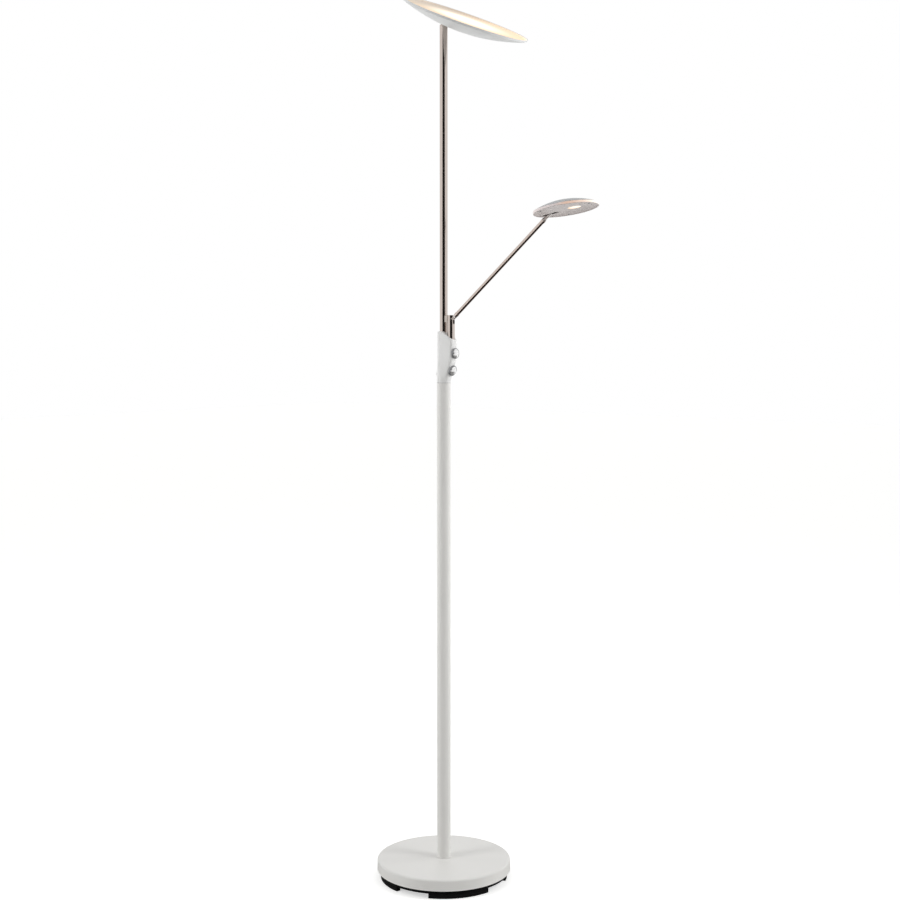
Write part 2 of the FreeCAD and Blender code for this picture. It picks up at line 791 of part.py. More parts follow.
def torch_knuckle():
    """Plug in the pole's top with a tongue that carries the dish."""
    plug = cylinder(upper_inner - fit, upper_pole_top - knuckle_plug, upper_pole_top)
    plug = plug.fuse(cylinder(upper_radius, upper_pole_top, knuckle_top))
    tongue = block(-tongue_radius, tongue_radius, -tongue_width / 2, tongue_width / 2,
                   upper_pole_top, torch_pivot_height)
    eye = rod_y(tongue_radius, -tongue_width / 2, tongue_width / 2, 0, torch_pivot_height)
    plug = plug.fuse([tongue, eye]).removeSplitter()
    return plug.cut(rod_y(torch_bolt_radius + fit, -tongue_width, tongue_width, 0, torch_pivot_height))


def post_clip():
    """Saddle between the pole and the post, with hooks that guide the post from behind."""
    low, high = post_top - clip_drop - clip_height, post_top - clip_drop
    clip = block(0, clip_hook, -clip_width / 2, clip_width / 2, low, high)
    clip = clip.cut(cylinder(upper_radius + fit, low - overrun, high + overrun))
    clip = clip.cut(cylinder(post_radius + seat, low - overrun, high + overrun, post_x))
    clip = clip.cut(block(-overrun, upper_radius / 2, -clip_width, clip_width, low - overrun, high + overrun))
    peg = rod_x(clip_peg_radius, upper_inner, upper_radius + overrun, 0, (low + high) / 2)
    return clip.fuse(peg).removeSplitter()


# ---------------------------------------------------------------- reading post

def post_slot():
    """Opening at the front of the post's top, where the arm swings."""
    return block(post_x - fork_slot_back, post_x + 2 * post_radius, -fork_slot / 2, fork_slot / 2,
                 post_top - fork_slot_depth, post_top + overrun)


def pin_half_length():
    return math.sqrt(post_radius ** 2 - (arm_pivot_x - post_x) ** 2) - seat


def arm_pin_hole():
    reach = 2 * post_radius
    return rod_y(arm_pin_radius + fit, -reach, reach, arm_pivot_x, arm_pivot_z)


def post_tube():
    post = tube(post_radius, post_inner, bridge_top, post_top, post_x)
    return post.cut(post_slot()).cut(arm_pin_hole())


def post_fork():
    fork = cylinder(post_inner - fit, post_top - fork_depth, post_top - seat, post_x)
    fork = fork.cut(cylinder(peg_bore_radius, post_top - fork_depth - overrun,
                             post_top - fork_slot_depth + overrun, post_x))
    return fork.cut(post_slot()).cut(arm_pin_hole())


def arm_pin():
    return rod_y(arm_pin_radius, -pin_half_length(), pin_half_length(), arm_pivot_x, arm_pivot_z)


# ---------------------------------------------------------------- reading arm (+X along it)

def eye_piece(thickness, eye_radius, neck, reach, bore):
    """Flat eye, neck, round shoulder and the spigot that goes into the arm's tube."""
    piece = rod_y(eye_radius, -thickness / 2, thickness / 2)
    piece = piece.fuse(block(0, reach, -thickness / 2, thickness / 2, -neck / 2, neck / 2))
    piece = piece.fuse(rod_x(arm_radius, reach, reach + arm_shoulder))
    piece = piece.fuse(rod_x(arm_radius - arm_wall - fit, reach, reach + arm_shoulder + arm_spigot))
    return piece.removeSplitter().cut(rod_y(bore + fit, -thickness, thickness))


def arm_lower_eye():
    return eye_piece(lower_tongue, lower_eye_radius, lower_neck, lower_reach, arm_pin_radius)


def arm_upper_eye():
    piece = eye_piece(upper_tongue, upper_eye_radius, upper_neck, upper_reach, head_pin_radius)
    piece.rotate(ORIGIN, Z_AXIS, 180)
    piece.translate(Vector(arm_length, 0, 0))
    return piece


def arm_tube():
    start, end = lower_reach + arm_shoulder, arm_length - upper_reach - arm_shoulder
    return rod_x(arm_radius, start, end).cut(rod_x(arm_radius - arm_wall, start - overrun, end + overrun))


def arm_lead():
    start = lower_reach + arm_shoulder + arm_spigot
    return rod_x(arm_lead_radius, start, arm_length - upper_reach - arm_shoulder - arm_spigot)


# ---------------------------------------------------------------- dishes

def ball_radius(radius, rise):
    return (radius ** 2 + rise ** 2) / (2 * rise)


def ball_depth(radius, edge, rise, inset, at):
    """Depth below the rim of the round wall, inset from its outside, at a distance from the axis."""
    ball = ball_radius(radius, rise)
    return math.sqrt((ball - inset) ** 2 - at ** 2) - (ball - edge - rise)


def ball_reach(radius, edge, rise, inset, depth):
    """Distance from the axis at which the same wall lies at this depth."""
    ball = ball_radius(radius, rise)
    return math.sqrt((ball - inset) ** 2 - (ball - edge - rise + depth) ** 2)


def dish(radius, edge, rise, wall, side):
    """Round dish with a straight edge; side is 1 for a dome and -1 for a bowl."""
    def at(distance, depth):
        return (distance, 0, side * depth)

    def depth(inset, distance):
        return ball_depth(radius, edge, rise, inset, distance)

    inner = radius - wall
    return revolved([line(at(0, edge + rise), at(0, edge + rise - wall)),
                     arc(at(0, edge + rise - wall), at(inner / 2, depth(wall, inner / 2)),
                         at(inner, depth(wall, inner))),
                     line(at(inner, depth(wall, inner)), at(inner, 0)),
                     line(at(inner, 0), at(radius, 0)),
                     line(at(radius, 0), at(radius, edge)),
                     arc(at(radius, edge), at(radius / 2, depth(0, radius / 2)), at(0, edge + rise))])


# ---------------------------------------------------------------- reading head

def head_plate_top():
    return plate_recess + plate_thickness


def head_screw_places():
    return on_circle(head_screw_count, head_screw_circle)


def head_shell():
    """Domed cover that sits on the band, with a lip inside it and three screw bosses."""
    whole = dish(head_radius, head_edge, head_dome, head_wall, 1)
    shell = whole.common(cylinder(2 * head_radius, head_edge, 2 * head_radius))
    inner = head_radius - band_wall - fit
    shell = shell.fuse(tube(inner, inner - head_wall, head_plate_top(), head_edge + head_wall / 2))
    for x, y in head_screw_places():
        top = ball_depth(head_radius, head_edge, head_dome, head_wall / 2, head_screw_circle + head_boss_radius)
        boss = tube(head_boss_radius, small_screw_radius + fit, head_plate_top(), top, x, y)
        shell = shell.fuse(boss)
    return shell.removeSplitter()


def head_band():
    return tube(head_radius, head_radius - band_wall, 0, head_edge)


def head_plate():
    plate = cylinder(head_radius - band_wall - fit, plate_recess, head_plate_top())
    low, high = plate_recess - overrun, head_plate_top() + overrun
    half = head_slot_width / 2
    plate = plate.cut(block(-head_slot_inner, -head_slot_outer, -half, half, low, high))
    plate = plate.cut(cylinder(lens_radius + fit, low, high, lens_offset))
    for x, y in head_screw_places() + rivet_places():
        plate = plate.cut(cylinder(small_screw_radius + fit, low, high, x, y))
    return plate


def ear_inner():
    return upper_tongue / 2 + slot_play


def rivet_places():
    middle = ear_inner() + ear_thickness + foot_width / 2
    return [(-hinge_inset, side * middle) for side in (-1, 1)]


def head_bracket():
    """Two ears beside the slot, each with its own foot on the plate."""
    ears = []
    top = head_plate_top()
    for side in (-1, 1):
        near, far = side * ear_inner(), side * (ear_inner() + ear_thickness)
        out = side * (ear_inner() + ear_thickness + foot_width)
        ear = block(-hinge_inset - head_ear_radius, -hinge_inset + head_ear_radius,
                    min(near, far), max(near, far), top, hinge_rise)
        ear = ear.fuse(rod_y(head_ear_radius, min(near, far), max(near, far), -hinge_inset, hinge_rise))
        ear = ear.fuse(block(-hinge_inset - foot_half_length, -hinge_inset + foot_half_length,
                             min(near, out), max(near, out), top, top + foot_thickness))
        ear = ear.cut(cylinder(2 * foot_half_length, -top, top, -hinge_inset))
        ear = ear.cut(rod_y(head_pin_radius + fit, -foot_width, foot_width, -hinge_inset, hinge_rise))
        x, y = -hinge_inset, side * rivet_places()[1][1]
        ear = ear.cut(cylinder(small_screw_radius + fit, 0, 2 * hinge_rise, x, y))
        ears.append(ear.removeSplitter())
    return ears


def bracket_rivets():
    low, high = plate_recess, head_plate_top() + foot_thickness
    return [cylinder(small_screw_radius, low, high, x, y).fuse(
        cylinder(small_head_radius, high, high + small_head_height / 2, x, y)).removeSplitter()
        for x, y in rivet_places()]


def head_pin():
    reach = ear_inner() + ear_thickness
    return rod_y(head_pin_radius, -reach, reach, -hinge_inset, hinge_rise)


def head_lens():
    lens = cylinder(lens_radius, plate_recess, plate_recess + lens_thickness, lens_offset)
    return lens.fuse(cylinder(lens_radius + lens_flange, head_plate_top(), plate_recess + lens_thickness,
                              lens_offset)).removeSplitter()


def holder_top():
    return plate_recess + lens_thickness + holder_height


def head_led_holder():
    return tube(lens_radius + lens_flange, lens_radius, plate_recess + lens_thickness, holder_top(), lens_offset)


def head_led_board():
    """Round board with one square light-emitting chip on its lower face."""
    half = led_size / 2
    low, high = holder_top(), holder_top() + led_board_thickness
    board = cylinder(lens_radius + lens_flange, low, high, lens_offset)
    return board.fuse(block(lens_offset - half, lens_offset + half, -half, half, low - led_height, low))


def head_screws():
    shape = screw(small_screw_radius, small_head_radius, small_head_height / 2, plate_thickness + holder_height)
    shape.rotate(ORIGIN, X_AXIS, 180)
    return [moved_to(shape, x, y, plate_recess) for x, y in head_screw_places()]


# ---------------------------------------------------------------- torch dish

def torch_wall_depth(inset, distance):
    return ball_depth(torch_radius, torch_edge, torch_bowl, inset, distance)


def torch_wall_reach(inset, depth):
    return ball_reach(torch_radius, torch_edge, torch_bowl, inset, depth)


def spreader_bottom():
    return spreader_depth + spreader_thickness


def spreader_screw_places():
    return on_circle(spreader_screw_count, spreader_screw_circle)


def torch_shell():
    """Pressed bowl with a slot for the knuckle and three bosses for the spreader."""
    shell = dish(torch_radius, torch_edge, torch_bowl, torch_wall, -1)
    half = tongue_width / 2 + 2 * slot_play + seat
    shell = shell.cut(block(-torch_hinge_inset - torch_slot_inner, -torch_hinge_inset + torch_slot_outer,
                            -half, half, -torch_edge - 2 * torch_bowl, -torch_hinge_depth))
    for x, y in spreader_screw_places():
        low = -torch_wall_depth(torch_wall / 2, spreader_screw_circle)
        boss = tube(spreader_boss_radius, small_screw_radius + fit, low, -spreader_bottom(), x, y)
        shell = shell.fuse(boss)
    return shell.removeSplitter()


def torch_spreader():
    radius = torch_wall_reach(torch_wall, spreader_bottom()) - 2 * seat
    plate = cylinder(radius, -spreader_bottom(), -spreader_depth)
    low, high = -spreader_bottom() - overrun, -spreader_depth + overrun
    for x, y in spreader_screw_places() + bracket_screw_places():
        plate = plate.cut(cylinder(small_screw_radius + fit, low, high, x, y))
    return plate


def torch_led_board():
    board = cylinder(torch_board_radius, -spreader_depth, -spreader_depth + board_thickness)
    for x, y in bracket_screw_places():
        board = board.cut(cylinder(small_screw_radius + seat, -spreader_bottom(), 0, x, y))
    return board


def torch_leds():
    low = -spreader_depth + board_thickness
    chips = []
    for radius, count in zip(torch_led_radii, torch_led_counts):
        for x, y in on_circle(count, radius):
            half = torch_led_size / 2
            chips.append(block(x - half, x + half, y - half, y + half, low, low + torch_led_height))
    return chips


def diffuser_bottom():
    return diffuser_recess + diffuser_thickness


def torch_reflector():
    """Round liner from the spreader's edge up to the diffuser, with a flange on the spreader."""
    outer, inner = torch_wall + liner_gap, torch_wall + liner_gap + liner_thickness
    bottom, top = spreader_depth, diffuser_bottom()
    low_outer, high_outer = torch_wall_reach(outer, bottom), torch_wall_reach(outer, top)
    low_inner, high_inner = torch_wall_reach(inner, bottom), torch_wall_reach(inner, top)
    middle = (bottom + top) / 2
    liner = revolved([line((low_inner, 0, -bottom), (low_outer, 0, -bottom)),
                      arc((low_outer, 0, -bottom), (torch_wall_reach(outer, middle), 0, -middle),
                          (high_outer, 0, -top)),
                      line((high_outer, 0, -top), (high_inner, 0, -top)),
                      arc((high_inner, 0, -top), (torch_wall_reach(inner, middle), 0, -middle),
                          (low_inner, 0, -bottom))])
    flange = tube((low_inner + low_outer) / 2, liner_flange_inner, -bottom, -bottom + liner_thickness)
    liner = liner.fuse(flange)
    for x, y in spreader_screw_places():
        liner = liner.cut(cylinder(small_head_radius + seat, -bottom - overrun, -bottom + overrun, x, y))
    return liner.removeSplitter()


def torch_diffuser():
    return cylinder(diffuser_radius, -diffuser_bottom(), -diffuser_recess)


def torch_rim_ring():
    outer = torch_radius - torch_wall - seat / 2
    return tube(outer, outer - rim_ring_width, -diffuser_recess, -rim_ring_recess)


def bracket_screw_places():
    return [(-torch_hinge_inset + side * bracket_screw_offset, 0) for side in (-1, 1)]


def torch_ear_inner():
    return tongue_width / 2 + torch_ear_gap


def torch_bracket():
    """Plate under the spreader with two ears for the hinge bolt."""
    x, depth = -torch_hinge_inset, torch_hinge_depth
    top = spreader_bottom()
    bracket = block(x - bracket_half_length, x + bracket_half_length, -bracket_half_width,
                    bracket_half_width, -top - bracket_thickness, -top)
    for side in (-1, 1):
        near, far = side * torch_ear_inner(), side * (torch_ear_inner() + torch_ear_thickness)
        bracket = bracket.fuse(block(x - torch_ear_radius, x + torch_ear_radius, min(near, far),
                                     max(near, far), -depth, -top))
        bracket = bracket.fuse(rod_y(torch_ear_radius, min(near, far), max(near, far), x, -depth))
    bracket = bracket.removeSplitter()
    reach = 2 * bracket_half_width
    bracket = bracket.cut(rod_y(torch_bolt_radius + fit, -reach, reach, x, -depth))
    for place, y in bracket_screw_places():
        bracket = bracket.cut(cylinder(small_screw_radius + fit, -depth, 0, place, y))
    return bracket


def torch_screws():
    """Three through the spreader into the bowl's bosses, two through the bracket into the spreader."""
    shape = screw(small_screw_radius, small_head_radius, small_head_height, spreader_thickness + overrun)
    down = [moved_to(shape, x, y, -spreader_depth) for x, y in spreader_screw_places()]
    shape = screw(small_screw_radius, small_head_radius, small_head_height,
                  bracket_thickness + spreader_thickness)
    shape.rotate(ORIGIN, X_AXIS, 180)
    level = -spreader_bottom() - bracket_thickness
    return down + [moved_to(shape, x, y, level) for x, y in bracket_screw_places()]


def torch_stack():
    """Distances along the bolt: outside of an ear, then outside of a washer."""
    ear = torch_ear_inner() + torch_ear_thickness
    return ear, ear + washer_gap


def torch_washers():
    ear, washer = torch_stack()
    washers = []
    for low, high in ((ear, washer), (-washer, -ear)):
        ring = rod_y(bolt_head_radius + seat, low, high, -torch_hinge_inset, -torch_hinge_depth)
        washers.append(ring.cut(rod_y(torch_bolt_radius + fit, low - overrun, high + overrun,
                                      -torch_hinge_inset, -torch_hinge_depth)))
    return washers


def torch_bolt():
    ear, washer = torch_stack()
    x, z = -torch_hinge_inset, -torch_hinge_depth
    head = rod_y(bolt_head_radius, -washer - bolt_head_height, -washer, x, z)
    return head.fuse(rod_y(torch_bolt_radius, -washer, washer + bolt_head_height, x, z)).removeSplitter()


def torch_nut():
    ear, washer = torch_stack()
    x, z = -torch_hinge_inset, -torch_hinge_depth
    nut = rod_y(bolt_head_radius, washer, washer + bolt_head_height, x, z)
    return nut.cut(rod_y(torch_bolt_radius + fit, washer - overrun, washer + 2 * bolt_head_height, x, z))


# ---------------------------------------------------------------- places of the moving groups

def arm_frame(shape):
    return placed(shape, arm_pivot_x, arm_pivot_z, -arm_lift)


def arm_end():
    lift = math.radians(arm_lift)
    return arm_pivot_x + arm_length * math.cos(lift), arm_pivot_z + arm_length * math.sin(lift)


def head_frame(shape):
    """Places the reading head so that its hinge is at the arm's end."""
    lift = math.radians(head_lift)
    end_x, end_z = arm_end()
    x = end_x + hinge_inset * math.cos(lift) + hinge_rise * math.sin(lift)
    z = end_z + hinge_inset * math.sin(lift) - hinge_rise * math.cos(lift)
    return placed(shape, x, z, -head_lift)


def torch_frame(shape):
    """Places the dish so that its hinge is above the pole."""
    lower = math.radians(torch_lower)
    x = torch_hinge_inset * math.cos(lower) + torch_hinge_depth * math.sin(lower)
    z = torch_pivot_height - torch_hinge_inset * math.sin(lower) + torch_hinge_depth * math.cos(lower)
    return placed(shape, x, z, torch_lower)


def knob_place(height):
    x, z, tilt = knob_frame(height)
    return lambda shape: placed(shape, x, z, tilt)


def all_parts():
    back, front = housing_shells()
    upper_pot, upper_spindle = upper_dimmer()
    lower_pot, lower_spindle = lower_dimmer()
    parts = {
        "base_cover": base_cover(), "base_weight": base_weight(), "bottom_tray": bottom_tray(),
        "foot_pads": foot_pads(), "centre_foot": centre_foot(), "tray_screws": tray_screws(),
        "cord_grommet": cord_grommet(), "led_driver": led_driver(), "driver_screws": driver_screws(),
        "terminal_block": terminal_block(), "pole_foot": pole_foot(), "pole_nipple": pole_nipple(),
        "pole_washer": pole_washer(), "pole_nut": pole_nut(), "lower_pole": lower_pole(),
        "stand_lead": stand_lead(), "housing_core": housing_core(), "grub_screws": grub_screws(),
        "housing_back": back, "housing_front": front, "housing_screws": housing_screws(),
        "upper_dimmer": upper_pot, "upper_shaft": upper_spindle,
        "upper_knob": knob_place(upper_knob_height)(knob()),
        "lower_dimmer": lower_pot, "lower_shaft": lower_spindle,
        "lower_knob": knob_place(lower_knob_height)(knob()),
        "upper_pole": upper_pole(), "upper_lead": upper_lead(),
        "torch_knuckle": torch_knuckle(), "post_clip": post_clip(),
        "post_tube": post_tube(), "post_fork": post_fork(), "arm_pin": arm_pin(),
    }
    for make in (arm_tube, arm_lower_eye, arm_upper_eye, arm_lead):
        parts[make.__name__] = arm_frame(make())
    for make in (head_shell, head_band, head_plate, head_pin, head_lens, head_led_holder,
                 head_led_board):
        parts[make.__name__] = head_frame(make())
    for make in (head_bracket, bracket_rivets, head_screws):
        parts[make.__name__] = [head_frame(piece) for piece in make()]
    for make in (torch_shell, torch_spreader, torch_led_board, torch_reflector, torch_diffuser,
                 torch_rim_ring, torch_bracket, torch_bolt, torch_nut):
        parts[make.__name__] = torch_frame(make())
    for make in (torch_screws, torch_leds, torch_washers):
        parts[make.__name__] = [torch_frame(piece) for piece in make()]
    return parts


os.makedirs("parts", exist_ok=True)
for name, made in all_parts().items():
    shape = Part.makeCompound(made) if isinstance(made, list) else made
    shape.exportStep("parts/" + name + ".step")
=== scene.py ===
"""Torchiere floor lamp with a reading light on a jointed arm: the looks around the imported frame."""

import json
import math

import bmesh
import bpy
from mathutils import Matrix, Vector


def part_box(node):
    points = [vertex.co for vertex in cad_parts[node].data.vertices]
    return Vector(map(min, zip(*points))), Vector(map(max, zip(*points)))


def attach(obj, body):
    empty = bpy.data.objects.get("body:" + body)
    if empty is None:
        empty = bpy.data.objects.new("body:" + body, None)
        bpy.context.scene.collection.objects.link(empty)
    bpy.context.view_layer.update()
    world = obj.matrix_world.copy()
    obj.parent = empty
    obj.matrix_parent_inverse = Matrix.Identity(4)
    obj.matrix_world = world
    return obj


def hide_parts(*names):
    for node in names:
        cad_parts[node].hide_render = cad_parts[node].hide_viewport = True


bl_info = {
    "name": "Torchiere floor lamp",
    "version": (1, 0, 0),
    "blender": (4, 5, 0),
    "location": "View3D > Sidebar > Lamp",
    "description": "Dresses a floor lamp that has an uplight dish and a reading light on an arm",
    "category": "Add Mesh",
}

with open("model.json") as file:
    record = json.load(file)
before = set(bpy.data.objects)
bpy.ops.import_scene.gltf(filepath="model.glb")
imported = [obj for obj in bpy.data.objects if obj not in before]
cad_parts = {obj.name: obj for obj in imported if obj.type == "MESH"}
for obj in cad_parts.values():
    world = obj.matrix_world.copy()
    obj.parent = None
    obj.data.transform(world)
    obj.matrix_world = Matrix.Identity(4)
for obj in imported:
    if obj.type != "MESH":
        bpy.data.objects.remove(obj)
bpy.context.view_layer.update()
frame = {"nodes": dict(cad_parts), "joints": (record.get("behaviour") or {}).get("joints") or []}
JOINTS = {joint["name"]: joint for joint in frame["joints"]}
MM = 0.001
TINY = 1e-7
SHARP_ANGLE = math.radians(32)
UPSIDE_DOWN = Matrix.Rotation(math.pi, 4, "X")
# Below an end's round a ring of vertices at this distance keeps a long wall's shading straight.
HOLD = 3 * MM
SCENE = bpy.context.scene


# ---- colours and materials

def linear(code):
    """sRGB hex to the linear colour that the shaders take."""
    channels = [int(code[i:i + 2], 16) / 255 for i in (1, 3, 5)]
    return tuple(c / 12.92 if c <= 0.04045 else ((c + 0.055) / 1.055) ** 2.4 for c in channels)


def add(tree, kind, inputs=None, **settings):
    """A node with its settings; an input is a value or the socket that feeds it."""
    node = tree.nodes.new(kind)
    for name, value in settings.items():
        setattr(node, name, value)
    for key, value in (inputs or {}).items():
        socket = node.inputs[key]
        if isinstance(value, bpy.types.NodeSocket):
            tree.links.new(value, socket)
        else:
            socket.default_value = value
    return node


def grain(tree, size, detail=3, stretch=(1, 1, 1), turn=(0, 0, 0)):
    """Noise on the piece's own coordinates; size is one grain in millimetres, stretch lengthens it along
    an axis."""
    where = add(tree, "ShaderNodeTexCoord")
    spread = add(tree, "ShaderNodeMapping",
                 {"Vector": where.outputs["Object"], "Rotation": turn, "Scale": stretch},
                 vector_type="TEXTURE")
    noise = add(tree, "ShaderNodeTexNoise",
                {"Vector": spread.outputs["Vector"], "Scale": 1 / (size * MM), "Detail": detail})
    return noise.outputs["Fac"]


def finish(name, colour, roughness, tone=None, gloss=None, relief=None, **sockets):
    """A material with a Principled shader; sockets are set on the shader itself. tone gives a grain and
    the share by which it shifts the colour, gloss a grain and how far it brings the roughness down and
    up, and relief a grain, its depth in millimetres and its strength. A grain is what grain() takes."""
    material = bpy.data.materials.new(name)
    material.use_nodes = True
    material.diffuse_color = (*colour, 1)
    tree = material.node_tree
    shader = tree.nodes["Principled BSDF"]
    shader.inputs["Base Color"].default_value = (*colour, 1)
    shader.inputs["Roughness"].default_value = roughness
    for key, value in sockets.items():
        shader.inputs[key.replace("_", " ").title().replace("Ior", "IOR")].default_value = value
    if tone:
        size, shift = tone
        low, high = [(*[min(1, channel * (1 + way)) for channel in colour], 1) for way in (-shift, shift)]
        mix = add(tree, "ShaderNodeMix", {0: grain(tree, *size), 6: low, 7: high}, data_type="RGBA")
        tree.links.new(mix.outputs[2], shader.inputs["Base Color"])
    if gloss:
        size, down, up = gloss
        # Noise keeps to the middle of its range, so that part is spread over the whole.
        spread = add(tree, "ShaderNodeMapRange",
                     {"Value": grain(tree, *size), "From Min": 0.3, "From Max": 0.7,
                      "To Min": roughness - down, "To Max": roughness + up})
        tree.links.new(spread.outputs["Result"], shader.inputs["Roughness"])
    if relief:
        size, depth, strength = relief
        bump = add(tree, "ShaderNodeBump",
                   {"Height": grain(tree, *size), "Distance": depth * MM, "Strength": strength})
        tree.links.new(bump.outputs["Normal"], shader.inputs["Normal"])
    return material


def powder_coated_steel(name, colour, roughness=0.42, peel=0.5):
    """Sheet steel with a baked polyester powder coat: satin, with a fine orange peel.
    The peel is drawn 3 mm wide, about twice the real one, so that it shows."""
    return finish(name, colour, roughness, tone=((90,), 0.015), gloss=((25,), 0.04, 0.04),
                  relief=((3, 2), 0.03, peel), ior=1.5)


def moulded_plastic(name, colour, roughness=0.4, texture=0.9, depth=0.03, shine=0.5):
    """Injection-moulded plastic with the spark-eroded texture of its tool."""
    return finish(name, colour, roughness, tone=((60,), 0.02), gloss=((8,), 0.05, 0.05),
                  relief=((texture,), depth, 0.7), ior=1.53, specular_ior_level=shine)


def drawn_metal(name, colour, roughness, lean):
    """Polished tube: fine draw lines run along it, 0.35 mm apart, wider than real so that they show.
    lean is the tube's angle from upright, about +Y."""
    lines = (0.35, 3, (1, 1, 60), (0, lean, 0))
    return finish(name, colour, roughness, tone=((140,), 0.03), gloss=(lines, 0.04, 0.04),
                  relief=(lines, 0.002, 0.15), metallic=1.0)


def plated_metal(name, colour, roughness, metallic=1.0):
    """Electroplated part: bright, with faint handling marks."""
    return finish(name, colour, roughness, tone=((12,), 0.03), gloss=((3, 6), 0.03, 0.05),
                  metallic=metallic)


def cast_metal(name, colour, metallic, roughness, grit):
    """Sand or die casting: a coarse skin with pits."""
    skin = (grit, 6)
    return finish(name, colour, roughness, tone=(skin, 0.15), gloss=((7,), 0.08, 0.08),
                  relief=(skin, 0.12, 0.8), metallic=metallic)


# In radii: where a lit sheet's middle begins to fade, where its rim is reached, and how far out the first
# and the last of the rim's colours lie.
FADE_START, FADE_END, RIM_SPREAD = 0.14, 0.82, 0.9


def glow_and_painted_light(name, place, radius, shift, core, rim, strength, body="#6B6864"):
    """Acrylic lit from behind: brightest over the light sources, and warmer towards its rim. Its colour
    also carries painted light: the rim's colours change from side to side, so on the torch dish a grey
    brown inboard side is painted shade, and the reading head's band, which is no lamp, shows a painted
    reflection.
    place is the sheet's frame; shift moves the bright middle outboard, in radii. rim gives the rim's
    colours from its inboard to its outboard side."""
    material = finish(name, linear(body), 0.45, relief=((1.5,), 0.02, 0.4), ior=1.49)
    tree = material.node_tree
    where = add(tree, "ShaderNodeTexCoord")
    local = add(tree, "ShaderNodeMapping",
                {"Vector": where.outputs["Object"], "Location": place.to_translation(),
                 "Rotation": tuple(place.to_euler()), "Scale": (radius, radius, radius)},
                vector_type="TEXTURE").outputs["Vector"]
    centred = add(tree, "ShaderNodeVectorMath", {0: local, 1: (shift, 0, 0)}, operation="SUBTRACT")
    reach = add(tree, "ShaderNodeVectorMath", {0: centred.outputs[0]}, operation="LENGTH")
    fade = add(tree, "ShaderNodeMapRange",
               {"Value": reach.outputs["Value"], "From Min": FADE_START, "From Max": FADE_END},
               interpolation_type="SMOOTHSTEP")
    across = add(tree, "ShaderNodeSeparateXYZ", {0: local})
    # The rim's colours run from side to side across the sheet; a darker side among them is painted shade.
    span = 2 * RIM_SPREAD / (len(rim) - 1)
    edge = (*linear(rim[0]), 1)
    for index, code in enumerate(rim[1:]):
        side = add(tree, "ShaderNodeMapRange",
                   {"Value": across.outputs["X"], "From Min": span * index - RIM_SPREAD,
                    "From Max": span * (index + 1) - RIM_SPREAD}, interpolation_type="SMOOTHSTEP")
        edge = add(tree, "ShaderNodeMix",
                   {0: side.outputs["Result"], 6: edge, 7: (*linear(code), 1)},
                   data_type="RGBA").outputs[2]
    glow = add(tree, "ShaderNodeMix",
               {0: fade.outputs["Result"], 6: (*linear(core), 1), 7: edge}, data_type="RGBA")
    shader = tree.nodes["Principled BSDF"]
    tree.links.new(glow.outputs[2], shader.inputs["Emission Color"])
    shader.inputs["Emission Strength"].default_value = strength
    return material


# ---- mesh building

def rounded(corners, pieces=5):
    """Outline through (radius, height) corners; a third number is a corner's round."""
    points = []
    for index, (x, z, *arc) in enumerate(corners):
        here = Vector((x, z))
        if not arc:
            points.append(here)
            continue
        radius = arc[0]
        before = (Vector(corners[index - 1][:2]) - here).normalized()
        after = (Vector(corners[(index + 1) % len(corners)][:2]) - here).normalized()
        half = before.angle(after) / 2
        centre = here + (before + after).normalized() * radius / math.sin(half)
        reach = radius / math.tan(half)
        start, end = here + before * reach - centre, here + after * reach - centre
        for step in range(pieces + 1):
            points.append(centre + start.lerp(end, step / pieces).normalized() * radius)
    return points


def turned(outline, steps=96, closed=True, first=0.0, span=2 * math.pi):
    """Mesh turned about +Z from an outline of (radius, height) points, all round or over a span."""
    mesh = bmesh.new()
    whole = span > 2 * math.pi - TINY
    columns = steps if whole else steps + 1
    rings = []
    for radius, height in outline:
        turns = [first + span * index / steps for index in range(1 if radius < TINY else columns)]
        rings.append([mesh.verts.new((radius * math.cos(turn), radius * math.sin(turn), height))
                      for turn in turns])
    pairs = list(zip(rings, rings[1:])) + ([(rings[-1], rings[0])] if closed else [])
    for low, high in pairs:
        for index in range(steps):
            corners = []
            for ring, offset in ((low, 0), (low, 1), (high, 1), (high, 0)):
                vertex = ring[(index + offset) % len(ring)]
                if vertex not in corners:
                    corners.append(vertex)
            if len(corners) > 2:
                mesh.faces.new(corners)
    if not whole:
        mesh.faces.new([ring[0] for ring in rings])
        mesh.faces.new([ring[-1] for ring in rings])
    bmesh.ops.recalc_face_normals(mesh, faces=mesh.faces)
    return mesh


def block(low, high):
    """Box between two corners."""
    mesh = bmesh.new()
    bmesh.ops.create_cube(mesh, size=1)
    mesh.transform(Matrix.Diagonal((*(Vector(high) - Vector(low)), 1)))
    mesh.transform(Matrix.Translation((Vector(low) + Vector(high)) / 2))
    return mesh


def rod(radius, start, end, steps=48):
    """Round bar between two points."""
    run = Vector(end) - Vector(start)
    mesh = turned([(0, 0), (radius, 0), (radius, run.length), (0, run.length)], steps, closed=False)
    mesh.transform(Matrix.Translation(start) @ run.to_track_quat("Z", "Y").to_matrix().to_4x4())
    return mesh


def to_object(name, mesh, place=None):
    """Object at the origin with its place in its mesh."""
    if place is not None:
        mesh.transform(place)
    data = bpy.data.meshes.new(name)
    mesh.to_mesh(data)
    mesh.free()
    made = bpy.data.objects.new(name, data)
    SCENE.collection.objects.link(made)
    return made


def lathe(name, corners, steps, place=None, pieces=5):
    """Round piece turned from the corners of its outline, which is open where it starts on the axis."""
    return to_object(name, turned(rounded(corners, pieces), steps, closed=corners[0][0] > 0), place)


def mesh_of(piece, keep=False):
    """Loose mesh of a piece, which is removed unless it is kept."""
    mesh = bmesh.new()
    mesh.from_mesh(piece.data)
    if not keep:
        bpy.data.objects.remove(piece)
    return mesh


def joined(meshes):
    """One loose mesh from several."""
    whole = bmesh.new()
    for mesh in meshes:
        data = bpy.data.meshes.new("joined")
        mesh.to_mesh(data)
        mesh.free()
        whole.from_mesh(data)
    return whole


